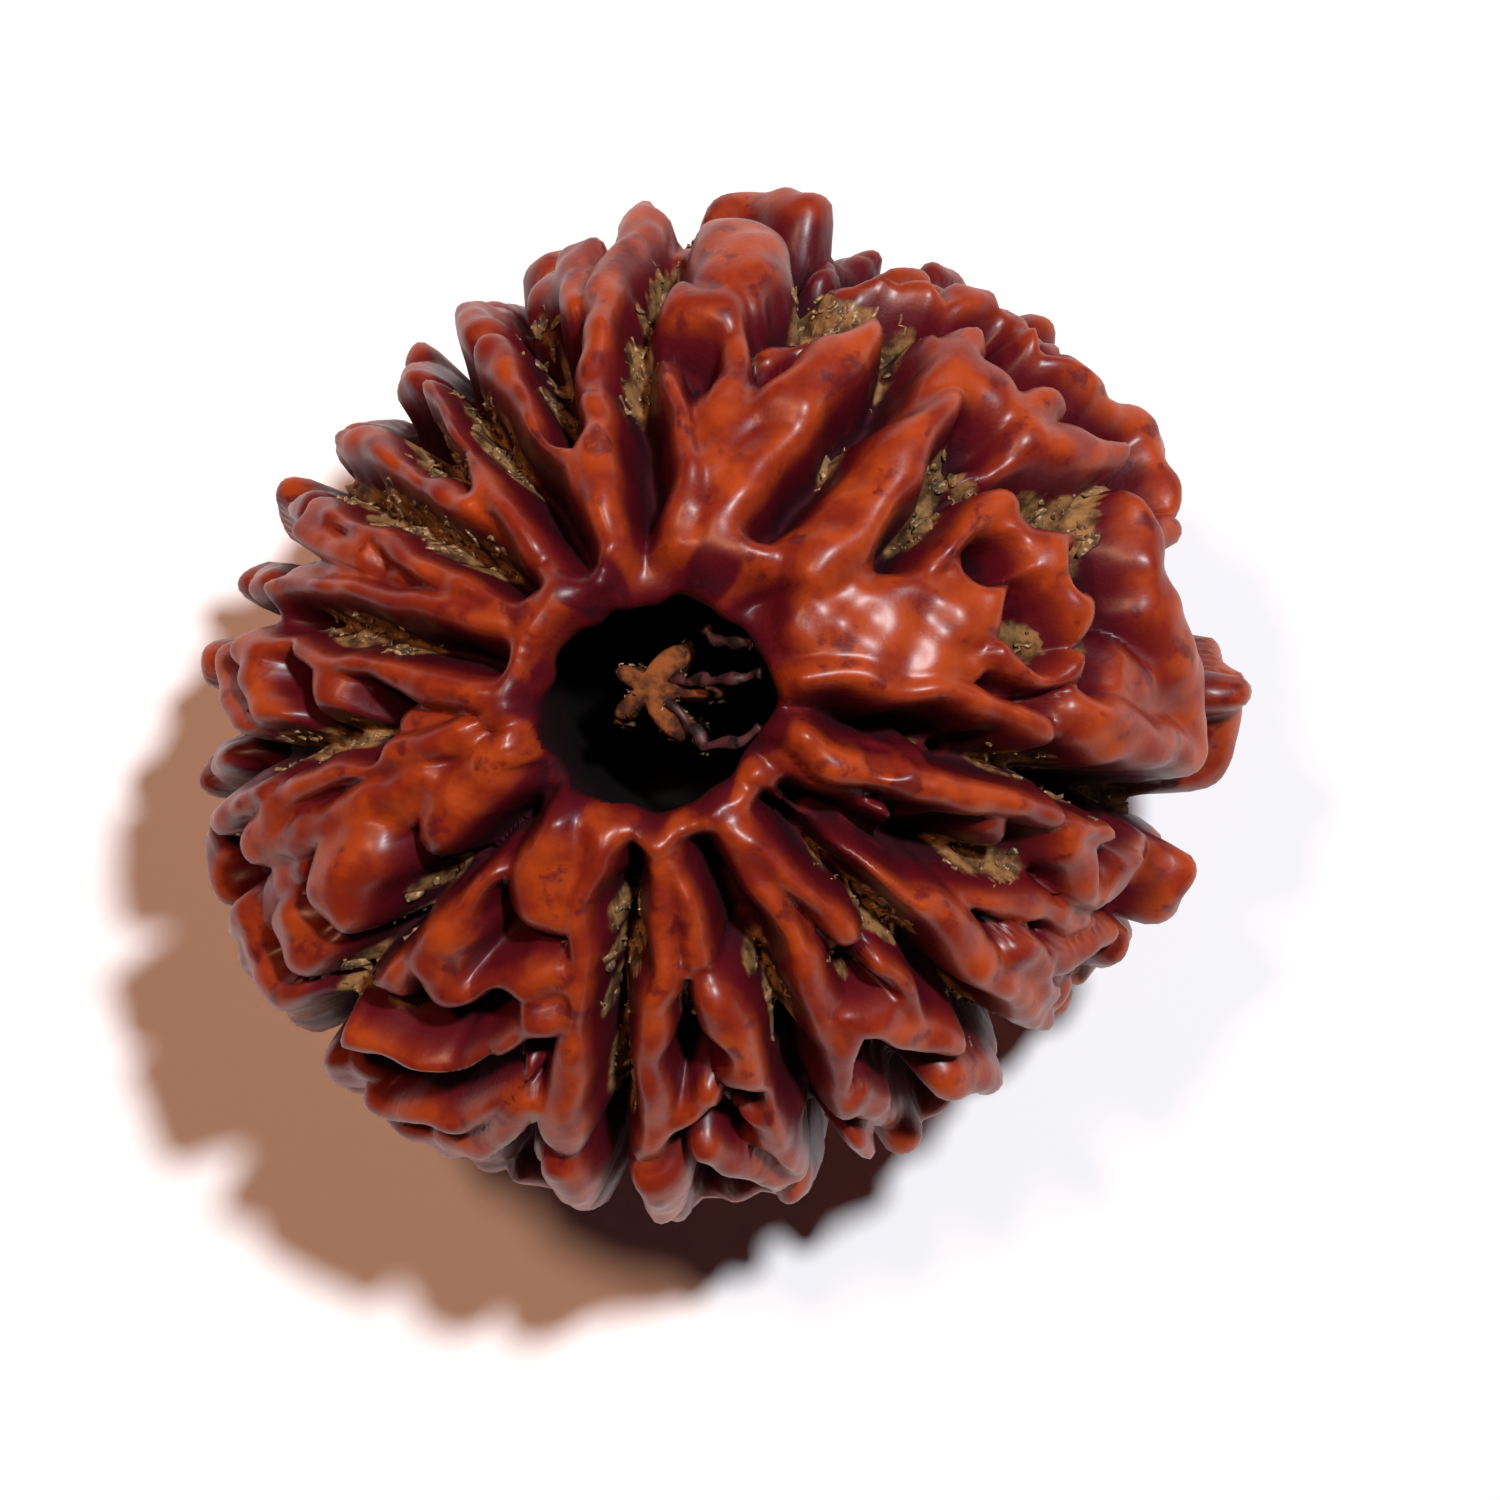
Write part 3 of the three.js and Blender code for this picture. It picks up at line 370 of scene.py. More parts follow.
def makeLowerRibs():
    draw = draws(underside["seed"])

    def spread(low, high):
        return low + (high - low) * next(draw)

    def stray(reach):
        return spread(-reach, reach)

    made = []
    lefts = underside["furrows"]
    for strip, left in enumerate(lefts):
        right = lefts[(strip + 1) % len(lefts)]
        width = (right - left + 360) % 360
        columns = max(2, int(width / underside["columnWidth"] + 0.5))
        for top, bottom, rise, everyColumn in underside["tiers"]:
            count = columns if everyColumn else -(-columns // 2)
            for column in range(count):
                middle = left + (column + 0.5) * width / count
                start = top + stray(underside["strayTop"])
                end = bottom + stray(underside["strayBottom"])
                half = spread(*underside["half"])
                height = rise + spread(*underside["strayRise"])
                drop = sum(by for low, high, by in underside["flats"] if low < middle % 360 < high)
                least = half + underside["leastRise"]
                height = max(height - drop, least)
                sway = stray(underside["sway"])
                waist = middle + stray(underside["strayWaist"])
                stops = [middle - sway, start], [waist, (start + end) / 2], [middle + sway, end]
                made.append([half, height, *stops])
                if top == underside["tiers"][0][0]:
                    lead = max(underside["leadRise"] - drop, least)
                    made.append([half, lead, stops[0], [middle, start - underside["leadOver"]]])
                if next(draw) < underside["spurChance"]:
                    side = -1 if next(draw) < 0.5 else 1
                    level = (start + end) / 2 + stray(underside["spurRoot"])
                    tip = [middle + side * width / count / 2, level + stray(underside["spurTip"])]
                    made.append([underside["spurHalf"], height - underside["spurDrop"], [middle, level], tip])
    made.append([underside["scarRadius"], bead["relief"] + underside["scarProud"], [0, 180], [180, 179]])
    return made


def noiseOver(points, length, seed):  # smooth values between -1 and 1, a sum of waves in fixed directions
    waves, fullTurn, tallest = 14, 6.283, 3.2
    draw = draws(seed)
    total = np.zeros(len(points))
    for _ in range(waves):
        way = np.array([next(draw) - 0.5, next(draw) - 0.5, next(draw) - 0.5])
        way /= np.linalg.norm(way)
        stretch = 0.6 + 0.9 * next(draw)
        total += np.sin(points @ way * stretch * 2 * np.pi / length + fullTurn * next(draw))
    return total / tallest


def smoothstep(value, low, high):
    t = np.clip((value - low) / (high - low), 0, 1)
    return t * t * (3 - 2 * t)


def nearest(points, stops, values):  # distance to a crest line, and the value at the nearest place on it
    best = np.full(len(points), np.inf)
    found = np.zeros(len(points))
    for start, end, low, high in zip(stops[:-1], stops[1:], values[:-1], values[1:]):
        way = end - start
        along = np.clip((points - start) @ way / max(way @ way, 1e-9), 0, 1)
        distance = np.linalg.norm(points - start - along[:, None] * way, axis=1)
        closer = distance < best
        best[closer] = distance[closer]
        found[closer] = (low + (high - low) * along)[closer]
    return best, found


def ribHeight(distance, rise, half):  # a round top, then a flank that dies away into the valley
    slope = bead["flankSlope"]
    turn = half / np.hypot(1, slope)
    top = rise - half + np.sqrt(np.maximum(half * half - distance * distance, 0))
    shoulder = rise - half + np.sqrt(half * half - turn * turn)
    flank = shoulder * np.exp(-(distance - turn) / (slope * shoulder))
    return np.where(distance < turn, top, flank)


def closeTo(points, stops, margin):
    middle = (stops.min(axis=0) + stops.max(axis=0)) / 2
    reach = np.linalg.norm(stops - middle, axis=1).max() + margin
    return np.nonzero(np.linalg.norm(points - middle, axis=1) < reach)[0]


def polarAngle(points):
    return np.degrees(np.arccos(np.clip(points[:, 2] / bead["halfHeight"], -1, 1)))


def valleyHeight(points):  # valleys are shallow round the mouth, and on the sides and the underside
    polar = polarAngle(points)
    top, topFrom, topTo = bead["shallowTop"]
    sides, sidesFrom, sidesTo = bead["shallowSides"]
    return top * (1 - smoothstep(polar, topFrom, topTo)) + sides * smoothstep(polar, sidesFrom, sidesTo)


def beadNoise(points, name):
    amount, length, start = bead[name]
    return amount * noiseOver(points, length, start)


def crestLine(way):
    return crestPoint(np.array([stop[0] for stop in way]), np.array([stop[1] for stop in way]))


# The height over the valley floor, its share of the ribs' height nearby, and the fibre on it
def surfaceHeight(points):
    amount, length, starts = bead["wander"]
    strayed = points + amount * np.stack([noiseOver(points, length, start) for start in starts], -1)
    total = np.exp(valleyHeight(points) / bead["blend"])
    crests = total * bead["relief"]
    for half, rise, *way in upperRibs + lowerRibs:
        stops = crestLine(way)
        rises = [stop[2] if len(stop) > 2 else rise for stop in way]
        here = closeTo(strayed, stops, half + 5 * bead["flankSlope"] * rise)
        distance, height = nearest(strayed[here], stops, rises)
        weight = np.exp(ribHeight(distance, height, half) / bead["blend"]) - 1
        total[here] += weight
        crests[here] += weight * height
    bite = np.zeros(len(points))
    for way in upperFurrows + lowerFurrows:
        stops = crestLine(way)
        here = closeTo(strayed, stops, 4 * bead["furrowHalf"])
        distance, _ = nearest(strayed[here], stops, [0] * len(way))
        bite[here] = np.maximum(bite[here], np.exp(-((distance / bead["furrowHalf"]) ** 2)))
    polar = polarAngle(points)
    bite *= smoothstep(polar, *bead["furrowStart"])
    height = bead["blend"] * np.log(total)
    height += beadNoise(points, "unevenness")
    bumps = beadNoise(points, "roughFloor") * (1 - smoothstep(height, *bead["floorTop"]))
    height += bumps * smoothstep(polar, *bead["floorStart"])
    height = height * (1 - bead["furrowBite"] * bite) - bead["furrowDepth"] * bite
    for azimuth, angle, radius, depth in hollows:
        distance = np.linalg.norm(strayed - crestPoint(azimuth, angle), axis=1)
        height -= depth * np.exp(-((distance / radius) ** 4))
    outside = smoothstep(np.hypot(points[:, 0], points[:, 1]), *bead["fibreStart"])
    amount, length, start = bead["fibreRuns"]
    fibre = bite * smoothstep(noiseOver(points, length, start), 0.2, 0.9) * amount * outside
    for azimuth, angle, radius, amount in fibrePlaces:
        distance = np.linalg.norm(strayed - crestPoint(azimuth, angle), axis=1)
        fibre = np.maximum(fibre, amount * np.exp(-((distance / radius) ** 2)))
    fibre *= 1 - smoothstep(height, *bead["fibreTop"])
    height += fibre * (bead["fibreBed"] + beadNoise(points, "fibreLumps"))
    reliefShare, nearShare = bead["colourShares"]
    level = height / (reliefShare * bead["relief"] + nearShare * crests / total)
    amount, length, start = bead["collarShade"]
    angle, fade = bead["collarPlace"]
    blotches = smoothstep(noiseOver(points, length, start), -0.3, 0.5)
    level -= amount * (np.exp(-(((polar - angle) / fade) ** 2)) * blotches)
    return height, level, fibre


def outerPoint(azimuth, polar):
    crest = crestPoint(azimuth, polar)
    height, level, fibre = surfaceHeight(crest)
    reach = np.linalg.norm(crest, axis=1)
    points = crest * ((reach + height - bead["relief"]) / reach)[:, None]
    points[:, 2] = np.maximum(points[:, 2], bead["scarDepth"] - bead["halfHeight"])
    return points, level, fibre


def mouthEdge(azimuth):
    a = np.radians(azimuth)
    ragged = sum(share * np.cos(count * a + shift) for count, shift, share in mouth["waves"])
    ragged = ragged - mouth["lean"] * np.sin(a)
    return mouth["angle"] + mouth["stretch"] * np.cos(2 * a) + mouth["ragged"] * ragged


def mouthPoint(azimuth, share):  # the mouth's lining: share is 0 at its edge, and 1 on the axis
    wall = mouth["wallShare"]
    rim, _, _ = outerPoint(azimuth, mouthEdge(azimuth))
    rimRadius = np.hypot(rim[:, 0], rim[:, 1])
    a = np.radians(azimuth)
    down = share / wall
    lined = rimRadius * (1 - down) + mouth["foot"] * down
    lined += (mouth["belly"] - (rimRadius + mouth["foot"]) / 2) * np.sin(np.pi * np.clip(down, 0, 1))
    level = rim[:, 2] + (mouth["floor"] - rim[:, 2]) * down
    inner = mouth["foot"] * (1 - share) / (1 - wall)
    edge = mouth["stumpRadius"] + mouth["stumpArm"] * np.cos(mouth["stumpPoints"] * a + np.sin(2 * a))
    stump = smoothstep(edge - inner, -mouth["stumpEdge"], mouth["stumpEdge"])
    onWall = share < wall
    radius = np.where(onWall, lined, inner)
    level = np.where(onWall, level, mouth["floor"] + mouth["stumpHeight"] * stump)
    aside = np.where(onWall, 0, 1 - inner / mouth["foot"])[:, None] * np.array([*mouth["stumpAside"], 0])
    return np.stack([radius * np.cos(a), radius * np.sin(a), level], -1) + aside, np.where(onWall, 0, stump)


def ballGrid(steps):  # the squares of a cube's faces, blown up to a ball, with shared corners
    line = np.tan(np.linspace(-np.pi / 4, np.pi / 4, steps + 1))
    across, along = np.meshgrid(line, line, indexing="ij")
    sheets, squares = [], []
    index = np.arange((steps + 1) ** 2).reshape(steps + 1, steps + 1)
    corners = np.stack([index[:-1, :-1], index[1:, :-1], index[1:, 1:], index[:-1, 1:]], -1).reshape(-1, 4)
    for axis in range(3):
        for side in (-1, 1):
            sheet = np.empty((steps + 1, steps + 1, 3))
            sheet[..., axis] = side
            sheet[..., (axis + 1) % 3] = across * side
            sheet[..., (axis + 2) % 3] = along
            squares.append(corners + len(sheets) * index.size)
            sheets.append(sheet.reshape(-1, 3))
    points = np.concatenate(sheets)
    points /= np.linalg.norm(points, axis=1)[:, None]
    _, first, inverse = np.unique(np.round(points, 6), axis=0, return_index=True, return_inverse=True)
    return points[first], inverse.reshape(-1)[np.concatenate(squares)]


def meshFrom(name, points, faces, smooth=True):
    mesh = bpy.data.meshes.new(name)
    mesh.from_pydata([tuple(point) for point in points], [], [tuple(face) for face in faces])
    if smooth:
        mesh.shade_smooth()
    piece = bpy.data.objects.new(name, mesh)
    bpy.context.scene.collection.objects.link(piece)
    return piece


def easedRim(points, faces, moving):  # the mouth's edge, made even along its turn into the pit
    for _ in range(mouth["easeRounds"]):
        sums = np.zeros_like(points)
        counts = np.zeros(len(points))
        for corner in range(4):
            np.add.at(sums, faces[:, corner], points[faces[:, (corner + 1) % 4]])
            np.add.at(sums, faces[:, corner], points[faces[:, (corner + 3) % 4]])
            np.add.at(counts, faces[:, corner], 2)
        points = np.where(moving[:, None], (points + sums / counts[:, None]) / 2, points)
    return points


def makeBead():
    directions, faces = ballGrid(bead["gridSteps"])
    azimuth = np.degrees(np.arctan2(directions[:, 1], directions[:, 0]))
    fromPole = np.degrees(np.arccos(np.clip(directions[:, 2], -1, 1)))
    points = np.zeros_like(directions)
    rise, fibre, pit, stump = (np.zeros(len(points)) for _ in range(4))
    inside = fromPole < mouth["gridShare"]
    share = (fromPole - mouth["gridShare"]) / (180 - mouth["gridShare"])
    polar = mouthEdge(azimuth) + (180 - mouthEdge(azimuth)) * share
    points[~inside], rise[~inside], fibre[~inside] = outerPoint(azimuth[~inside], polar[~inside])
    points[inside], stump[inside] = mouthPoint(azimuth[inside], 1 - fromPole[inside] / mouth["gridShare"])
    # how far into the mouth a place lies, which sets how much painted shade darkens its lining
    pit[inside] = 1 - fromPole[inside] / mouth["gridShare"]
    fibre[inside] = 0.3 * stump[inside]
    points = easedRim(points, faces, np.abs(fromPole - mouth["gridShare"]) < mouth["easeSpan"])
    points[:, 2] += bead["halfHeight"] - bead["scarDepth"]
    piece = meshFrom("bead_shell", points * mm, faces)
    for name, values in {"rise": rise, "fibre": fibre, "pit": pit, "stump": stump}.items():
        attribute = piece.data.attributes.new(name, "FLOAT", "POINT")
        attribute.data.foreach_set("value", values.astype(np.float32))
    return piece


def srgb(red, green, blue):  # the linear colour of one given from 0 to 255
    linear = (((c / 255 + 0.055) / 1.055) ** 2.4 if c > 10 else c / 3295 for c in (red, green, blue))
    return (*linear, 1)


class Wire:  # a shader socket that takes part in sums
    def __init__(self, finish, socket):
        self.finish = finish
        self.socket = socket

    def sum(self, operation, first, second):
        return self.finish.node("ShaderNodeMath", {"operation": operation}, {0: first, 1: second})

    def __add__(self, other):
        return self.sum("ADD", self, other)

    def __radd__(self, other):
        return self.sum("ADD", other, self)

    def __sub__(self, other):
        return self.sum("SUBTRACT", self, other)

    def __rsub__(self, other):
        return self.sum("SUBTRACT", other, self)

    def __mul__(self, other):
        return self.sum("MULTIPLY", self, other)

    def __rmul__(self, other):
        return self.sum("MULTIPLY", other, self)

    def between(self, low, high, start=0.0, end=1.0):  # eased from start to end as the value goes up
        settings = {"interpolation_type": "SMOOTHSTEP", "clamp": True}
        return self.finish.node("ShaderNodeMapRange", settings, {0: self, 1: low, 2: high, 3: start, 4: end})


class Web:  # nodes wired up one by one, in a material or in a Geometry Nodes tree
    def __init__(self, tree):
        self.tree = tree

    def node(self, kind, settings, sockets, output=0):
        made = self.tree.nodes.new(kind)
        for name, value in settings.items():
            setattr(made, name, value)
        for name, value in sockets.items():
            if isinstance(value, Wire):
                self.tree.links.new(value.socket, made.inputs[name])
            elif isinstance(value, list):
                for wire in value:
                    self.tree.links.new(wire.socket, made.inputs[name])
            else:
                made.inputs[name].default_value = value
        return Wire(self, made.outputs[output]) if made.outputs else None


class Finish(Web):
    def __init__(self, name):
        self.material = bpy.data.materials.new(name)
        self.material.use_nodes = True
        super().__init__(self.material.node_tree)
        self.tree.nodes.clear()
        self.place = self.node("ShaderNodeTexCoord", {}, {}, "Object")

    def attribute(self, name):
        return self.node("ShaderNodeAttribute", {"attribute_name": name}, {}, "Fac")

    def noise(self, size, detail=3, seed=0):  # size of its blotches in millimetres
        placed = self.node("ShaderNodeVectorMath", {"operation": "ADD"}, {0: self.place, 1: (seed, 0, 0)})
        sockets = {"Vector": placed, "Scale": 1 / (size * mm), "Detail": detail, "Roughness": 0.55}
        return self.node("ShaderNodeTexNoise", {}, sockets, "Fac")

    def mix(self, factor, first, second):
        return self.node("ShaderNodeMix", {"data_type": "RGBA"}, {0: factor, 6: first, 7: second}, 2)

    def surface(self, sockets):
        shader = self.node("ShaderNodeBsdfPrincipled", {}, sockets)
        self.node("ShaderNodeOutputMaterial", {}, {"Surface": shader})


# Colours as red, green and blue from 0 to 255, sizes in millimetres, heights as a share of the ribs nearby
shell = {
    "crest": srgb(166, 64, 17),
    "crestDark": srgb(126, 34, 13),
    # the flank and valley colours are partly the bead's own darker hollows and partly painted shade in its
    # furrows and on its flanks
    "flank": srgb(84, 12, 21),
    "valley": srgb(46, 9, 19),
    "fibre": srgb(147, 108, 66),
    "fibreDark": srgb(68, 45, 29),
    # near-black painted shade for the mouth's lining, standing for the deep pit lying in shade
    "pit": srgb(5, 2, 2),
    "stump": srgb(134, 77, 40),
    "stumpDark": srgb(56, 31, 24),
    "flankRange": (0.15, 0.75),  # heights over which valley turns to flank
    "crestRange": (0.66, 1.02),  # heights over which flank turns to crest
    "stainShare": 0.75,  # of the flank's colour in the stains on the crests
    "broad": 3.2,
    "blotch": 1.3,
    "stain": 0.8,
    "fine": 0.5,
    "grain": 0.12,
    "strayHeight": 0.22,  # how far the broad noise moves the heights
    "gloss": 0.43,  # roughness of the wax
    "fibreRoughness": 0.85,
    "coat": 0.34,
    "coatRange": (0.3, 0.8),
    "coatRoughness": 0.33,
    "coatIor": 1.65,
    "ior": 1.22,
    "bump": 0.07,
    "bumpStrength": 0.5,
}


def shellFinish():
    finish = Finish("waxed_shell")
    pit = finish.attribute("pit")
    stump = finish.attribute("stump")
    broad = finish.noise(shell["broad"])
    fine = finish.noise(shell["fine"], 4, 3)
    grain = finish.noise(shell["grain"], 2, 5)
    blotch = finish.noise(shell["blotch"], 3, 7).between(0.35, 0.65)
    stain = finish.noise(shell["stain"], 4, 11).between(0.56, 0.68, 0, shell["stainShare"])
    level = finish.attribute("rise") + shell["strayHeight"] * (broad - 0.5)
    # lighter on the crests, darker down the flanks into the valleys: partly the bead's own colour, partly
    # painted shade
    colour = finish.mix(level.between(*shell["flankRange"]), shell["valley"], shell["flank"])
    crest = finish.mix(blotch, shell["crestDark"], shell["crest"])
    colour = finish.mix(level.between(*shell["crestRange"]), colour, crest)
    colour = finish.mix(stain, colour, shell["flank"])
    fibre = finish.mix(fine.between(0.35, 0.65), shell["fibreDark"], shell["fibre"])
    patch = (finish.attribute("fibre") + 0.3 * (fine - 0.5)).between(0.25, 0.5)
    colour = finish.mix(patch, colour, fibre)
    # the mouth's lining turns near-black: painted shade of the deep pit
    colour = finish.mix(pit.between(0.08, 0.4), colour, shell["pit"])
    stumpColour = finish.mix(fine.between(0.35, 0.65), shell["stumpDark"], shell["stump"])
    colour = finish.mix(stump.between(0.5, 1), colour, stumpColour)
    dull = patch.between(0, 1, shell["gloss"], shell["fibreRoughness"])
    rough = pit.between(0.05, 0.3, 0, 0.6) + dull + level.between(0.1, 0.6, 0.4, 0) + 0.2 * (fine - 0.5)
    bumps = {
        "Strength": shell["bumpStrength"],
        "Distance": shell["bump"] * mm,
        "Height": fine + 0.3 * grain,
    }
    finish.surface({
        "Base Color": colour,
        "Roughness": rough,
        "Normal": finish.node("ShaderNodeBump", {}, bumps, "Normal"),
        "Coat Weight": level.between(*shell["coatRange"], 0, shell["coat"]),
        "Coat Roughness": shell["coatRoughness"],
        "Coat IOR": shell["coatIor"],
        "IOR": shell["ior"],
    })
    return finish.material


lowerRibs = makeLowerRibs()
lowerFurrows = [[[azimuth, polar] for polar in underside["furrowStops"]] for azimuth in underside["furrows"]]
beadPiece = makeBead()
beadPiece.data.materials.append(shellFinish())
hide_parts("rudraksha_bead")
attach(beadPiece, "root")
print("bead shell made:", len(beadPiece.data.polygons), "faces")


# The dry fibre in the furrows, sizes in millimetres
scraps = {
    "perArea": 12,  # pieces on a square millimetre where it is thickest
    "length": 0.6,
    "thickness": 0.045,
    "crumb": 0.11,
    "turn": 0.7,  # how far a fibre turns from the furrow's way, in radians
    "lift": 0.2,
    "seed": 8,
    "fibreWidths": [0.5, 0.9, 1.3, 1.7],  # width over thickness of each kind of fibre
    "bend": (0.2, 1.0, 0.7),  # of a fibre along, across and up, as a share of its length
    "bendScale": 2.6,
    "bendApart": 7.3,
    "crumbShapes": [(3, 1.5, 0.5), (1.3, 0.9, 0.5)],
    "crumbDents": (0.2, 0.2, 0.1),
    "dentsPerMm": 9,
    "sizes": (0.45, 1.25),  # least and most, as a share
    "roughness": 0.85,
    "pale": srgb(190, 162, 122),
    "tan": srgb(129, 95, 59),
    "dark": srgb(73, 50, 33),
}


def fibreTree(material):
    tree = bpy.data.node_groups.new("scatteredFibre", "GeometryNodeTree")
    tree.interface.new_socket("Bead", in_out="INPUT", socket_type="NodeSocketGeometry")
    for name in ("Per Area", "Length", "Thickness", "Crumb"):
        tree.interface.new_socket(name, in_out="INPUT", socket_type="NodeSocketFloat")
    tree.interface.new_socket("Seed", in_out="INPUT", socket_type="NodeSocketInt")
    tree.interface.new_socket("Fibre", in_out="OUTPUT", socket_type="NodeSocketGeometry")
    web = Web(tree)
    given = tree.nodes.new("NodeGroupInput")

    def wire(name):
        return Wire(web, given.outputs[name])

    def vector(operation, first, second):
        return web.node("ShaderNodeVectorMath", {"operation": operation}, {0: first, 1: second})

    def sized(geometry, x, y, z):
        scale = web.node("ShaderNodeCombineXYZ", {}, {0: x, 1: y, 2: z})
        return web.node("GeometryNodeTransform", {}, {"Geometry": geometry, "Scale": scale})

    def strayed(geometry, scale, where, reach):
        sockets = {"Scale": scale, "Detail": 1.0, "Vector": where}
        noise = web.node("ShaderNodeTexNoise", {}, sockets, "Color")
        offset = vector("MULTIPLY", vector("SUBTRACT", noise, (0.5, 0.5, 0.5)), reach)
        return web.node("GeometryNodeSetPosition", {}, {"Geometry": geometry, "Offset": offset})

    thick = web.node(
        "GeometryNodeInputNamedAttribute", {"data_type": "FLOAT"}, {"Name": "fibre"}, "Attribute"
    )
    spread = {"Mesh": wire("Bead"), "Density": wire("Per Area") * (thick * thick), "Seed": wire("Seed")}
    points = web.node("GeometryNodeDistributePointsOnFaces", {}, spread)
    facing = Wire(web, points.socket.node.outputs["Rotation"])
    place = web.node("GeometryNodeInputPosition", {}, {})
    aligned = {"Rotation": facing, "Vector": place}
    along = web.node("FunctionNodeAlignRotationToVector", {"axis": "X", "pivot_axis": "Z"}, aligned)
    least, most = (-0.5, -scraps["lift"], -scraps["turn"]), (0.5, scraps["lift"], scraps["turn"])
    spun = web.node("FunctionNodeRandomValue", {"data_type": "FLOAT_VECTOR"}, {0: least, 1: most, "Seed": 3})
    turning = {"Rotation": along, "Rotate By": spun}
    turned = web.node("FunctionNodeRotateRotation", {"rotation_space": "LOCAL"}, turning)
    kinds = []
    profile = web.node("GeometryNodeCurvePrimitiveCircle", {}, {"Resolution": 4, "Radius": 1.0})
    for number, width in enumerate(scraps["fibreWidths"]):
        line = web.node("GeometryNodeCurvePrimitiveLine", {}, {"Start": (-0.5, 0, 0), "End": (0.5, 0, 0)})
        line = web.node("GeometryNodeResampleCurve", {}, {"Curve": line, "Count": 6})
        away = vector("ADD", place, (0, scraps["bendApart"] * number, 0))
        line = strayed(line, scraps["bendScale"], away, scraps["bend"])
        line = sized(line, wire("Length"), wire("Length"), wire("Length"))
        ring = sized(profile, wire("Thickness"), wire("Thickness") * width, 1.0)
        swept = {"Curve": line, "Profile Curve": ring, "Fill Caps": True}
        tube = web.node("GeometryNodeCurveToMesh", {}, swept)
        kinds.append(web.node("GeometryNodeGeometryToInstance", {}, {"Geometry": tube}))
    for shape in scraps["crumbShapes"]:
        crumb = web.node("GeometryNodeMeshIcoSphere", {}, {"Radius": wire("Crumb"), "Subdivisions": 2})
        dents = tuple(dent * mm for dent in scraps["crumbDents"])
        crumb = strayed(crumb, scraps["dentsPerMm"] / mm, place, dents)
        crumb = sized(crumb, *shape)
        kinds.append(web.node("GeometryNodeGeometryToInstance", {}, {"Geometry": crumb}))
    choices = web.node("GeometryNodeJoinGeometry", {}, {"Geometry": kinds})
    pick = web.node("FunctionNodeRandomValue", {"data_type": "INT"}, {4: 0, 5: len(kinds) - 1, "Seed": 5}, 2)
    small, large = scraps["sizes"]
    size = web.node("FunctionNodeRandomValue", {"data_type": "FLOAT"}, {2: small, 3: large, "Seed": 6}, 1)
    placed = web.node("GeometryNodeInstanceOnPoints", {}, {
        "Points": points,
        "Instance": choices,
        "Pick Instance": True,
        "Instance Index": pick,
        "Rotation": turned,
        "Scale": web.node("ShaderNodeCombineXYZ", {}, {0: size, 1: size, 2: size}),
    })
    solid = web.node("GeometryNodeRealizeInstances", {}, {"Geometry": placed})
    solid = web.node("GeometryNodeSetMaterial", {}, {"Geometry": solid, "Material": material})
    web.node("NodeGroupOutput", {}, {"Fibre": solid})
    return tree


def fibreFinish():
    finish = Finish("dry_fibre")
    blotch = finish.noise(0.5, 2, 1)
    fine = finish.noise(0.12, 3, 4)
    colour = finish.mix(blotch.between(0.38, 0.55), scraps["dark"], scraps["tan"])
    colour = finish.mix(fine.between(0.5, 0.7), colour, scraps["pale"])
    finish.surface({"Base Color": colour, "Roughness": scraps["roughness"]})
    return finish.material


def makeFibre():
    piece = bpy.data.objects.new("furrow_fibre", beadPiece.data.copy())
    bpy.context.scene.collection.objects.link(piece)
    modifier = piece.modifiers.new("fibre", "NODES")
    modifier.node_group = fibreTree(fibreFinish())
    settings = {
        "Per Area": scraps["perArea"] / mm**2,
        "Length": scraps["length"] * mm,
        "Thickness": scraps["thickness"] * mm,
        "Crumb": scraps["crumb"] * mm,
        "Seed": scraps["seed"],
    }
    for item in modifier.node_group.interface.items_tree:
        if item.name in settings:
            modifier[item.identifier] = settings[item.name]
    evaluated = piece.evaluated_get(bpy.context.evaluated_depsgraph_get())
    mesh = bpy.data.meshes.new_from_object(evaluated)
    piece.modifiers.remove(modifier)
    piece.data = mesh
    mesh.shade_smooth()
    return piece


fibrePiece = makeFibre()
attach(fibrePiece, "root")
print("furrow fibre made:", len(fibrePiece.data.polygons), "faces")


# Shreds of skin across the mouth, as points in millimetres from the bead's middle
shreds = {
    "ways": [
        [(-0.3, 0.1, 6.6), (0.3, -0.5, 6.9), (0.9, -1.2, 7.2), (1.5, -1.3, 7.6), (2.3, -0.9, 8.2)],
        [(0.0, 0.4, 6.6), (0.8, 0.35, 7.2), (1.5, 0.3, 7.8), (2.4, 0.4, 8.4)],
        [(1.0, 1.5, 7.8), (1.6, 1.2, 8.2), (2.3, 1.1, 8.6)],
    ],
    "radius": 0.17,
    "flatness": 0.6,
    "sides": 8,
    "steps": 24,
    "wander": (0.05, 0.7, (51, 52, 53)),
    "roughness": 0.5,
    "colour": srgb(80, 43, 45),
    "dark": srgb(30, 14, 17),
}


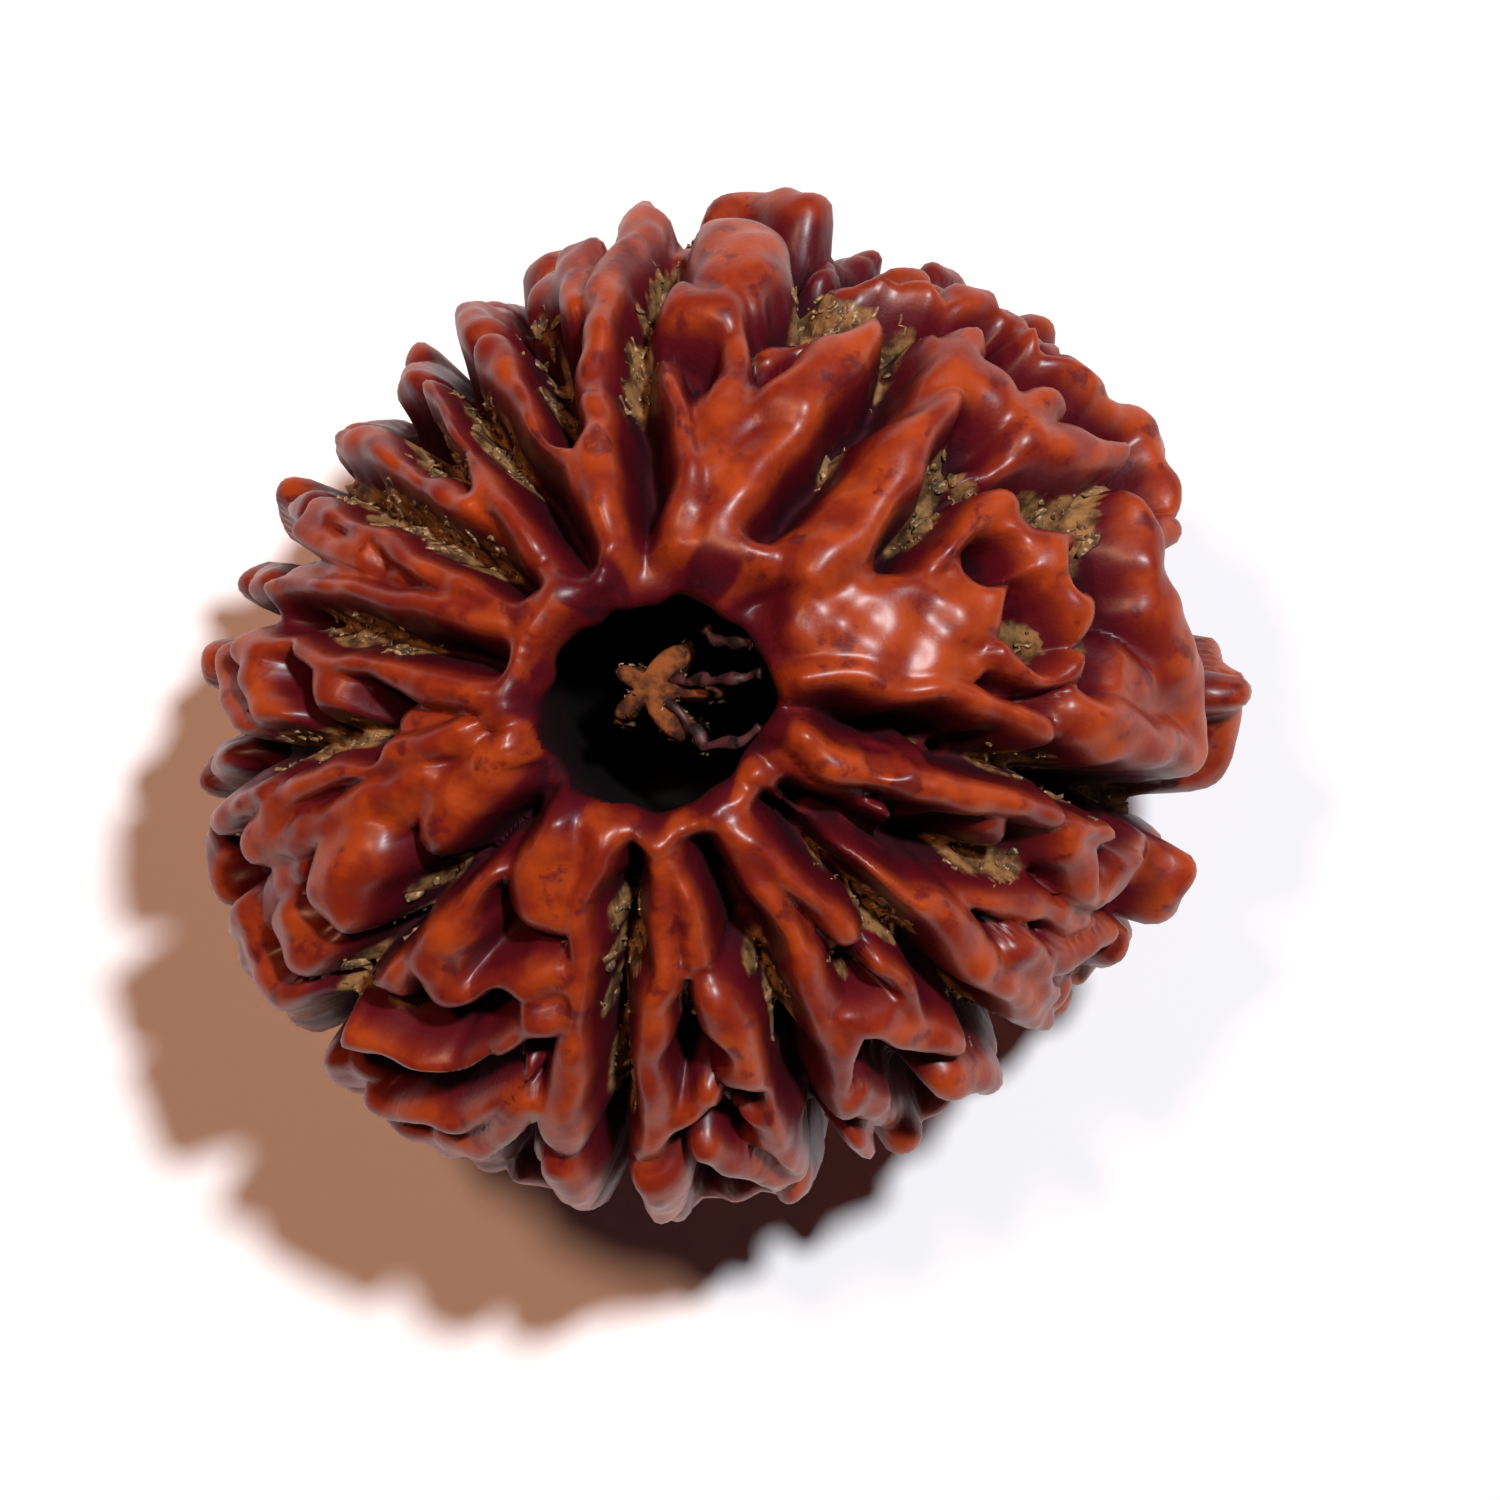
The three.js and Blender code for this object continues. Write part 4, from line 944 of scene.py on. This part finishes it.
def makeShreds():
    points, faces = [], []
    steps, sides, flatness = shreds["steps"], shreds["sides"], shreds["flatness"]
    amount, length, (along, across, upward) = shreds["wander"]
    for number, way in enumerate(shreds["ways"]):
        stops = np.array(way)
        places = np.linspace(0, len(stops) - 1, steps)
        line = np.stack([np.interp(places, range(len(stops)), stops[:, axis]) for axis in range(3)], -1)
        for _ in range(3):
            line[1:-1] = (line[:-2] + 2 * line[1:-1] + line[2:]) / 4
        starts = along + number, across, upward
        line += amount * np.stack([noiseOver(line, length, start) for start in starts], -1)
        first = len(points)
        for step, place in enumerate(line):
            course = line[min(step + 1, steps - 1)] - line[max(step - 1, 0)]
            side = np.cross(course, (0, 0, 1))
            side /= np.linalg.norm(side)
            lift = np.cross(side, course) / np.linalg.norm(course)
            thick = shreds["radius"] * (0.8 + 0.25 * np.sin(0.8 * step + number))
            for corner in range(sides):
                turn = 2 * np.pi * corner / sides
                points.append(place + thick * (np.cos(turn) * side + flatness * np.sin(turn) * lift))
        for step in range(steps - 1):
            for corner in range(sides):
                here = first + step * sides + corner
                after = first + step * sides + (corner + 1) % sides
                faces.append((here, after, after + sides, here + sides))
        last = first + (steps - 1) * sides
        faces.append(tuple(first + corner for corner in reversed(range(sides))))
        faces.append(tuple(last + corner for corner in range(sides)))
    points = np.array(points)
    points[:, 2] += bead["halfHeight"] - bead["scarDepth"]
    return meshFrom("mouth_shreds", points * mm, faces)


def shredFinish():
    finish = Finish("shred_skin")
    colour = finish.mix(finish.noise(0.4).between(0.4, 0.6), shreds["dark"], shreds["colour"])
    finish.surface({"Base Color": colour, "Roughness": shreds["roughness"]})
    return finish.material


shredPiece = makeShreds()
shredPiece.data.materials.append(shredFinish())
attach(shredPiece, "root")
print("mouth shreds made:", len(shredPiece.data.polygons), "faces")


# The floor, two lights and the camera, in millimetres from the bead's middle
studio = {
    "floorHalf": 600,
    "floor": srgb(250, 249, 250),
    "floorRoughness": 0.9,
    "distance": 170,
    "back": (0.12, -0.036, 0.992),
    "aside": 1.125,
    "up": -1.075,
    "pixelsPerMm": 40,
    "imageWidth": 1500,
    "sensor": 36,
    "clipStart": 10,
    "lights": [  # name, azimuth, tilt from straight up, distance, width, watts and colour
        ("key", 37, 26, 900, 75, 8.9, (0.93, 0.96, 1.0)),
        ("warm", 128, 18, 900, 120, 3.1, (1.0, 0.49, 0.29)),
    ],
    "world": (1, 0.85, 0.9, 1),
    "worldStrength": 0.012,
}

middle = Vector((0, 0, bead["halfHeight"] - bead["scarDepth"])) * mm


def makeFloor():
    half = studio["floorHalf"] * mm
    corners = [(-half, -half, 0), (half, -half, 0), (half, half, 0), (-half, half, 0)]
    floor = meshFrom("floor", corners, [(0, 1, 2, 3)], smooth=False)
    finish = Finish("floor_paper")
    finish.surface({"Base Color": studio["floor"], "Roughness": studio["floorRoughness"]})
    floor.data.materials.append(finish.material)


def makeLight(name, azimuth, tilt, distance, size, power, colour):
    light = bpy.data.lights.new(name, "AREA")
    light.shape = "DISK"
    light.size = size * mm
    light.energy = power
    light.color = colour
    lamp = bpy.data.objects.new(name, light)
    a, t = np.radians(azimuth), np.radians(tilt)
    way = Vector((np.sin(t) * np.cos(a), np.sin(t) * np.sin(a), np.cos(t)))
    lamp.location = middle + way * distance * mm
    lamp.rotation_euler = way.to_track_quat("Z", "Y").to_euler()
    bpy.context.scene.collection.objects.link(lamp)


def makeCamera():
    back = Vector(studio["back"]).normalized()
    right = Vector((0, 1, 0)).cross(back).normalized()
    up = back.cross(right)
    data = bpy.data.cameras.new("camera")
    data.sensor_width = studio["sensor"]
    data.lens = studio["sensor"] * studio["pixelsPerMm"] * studio["distance"] / studio["imageWidth"]
    data.clip_start = studio["clipStart"] * mm
    camera = bpy.data.objects.new("camera", data)
    place = middle + (back * studio["distance"] + right * studio["aside"] + up * studio["up"]) * mm
    camera.matrix_world = Matrix.Translation(place) @ Matrix((right, up, back)).transposed().to_4x4()
    bpy.context.scene.collection.objects.link(camera)
    bpy.context.scene.camera = camera


makeFloor()
for light in studio["lights"]:
    makeLight(*light)
makeCamera()
world = bpy.data.worlds.new("room")
world.use_nodes = True
background = world.node_tree.nodes["Background"]
background.inputs["Color"].default_value = studio["world"]
background.inputs["Strength"].default_value = studio["worldStrength"]
bpy.context.scene.world = world
bpy.context.scene.view_settings.view_transform = "Standard"
print("studio made")
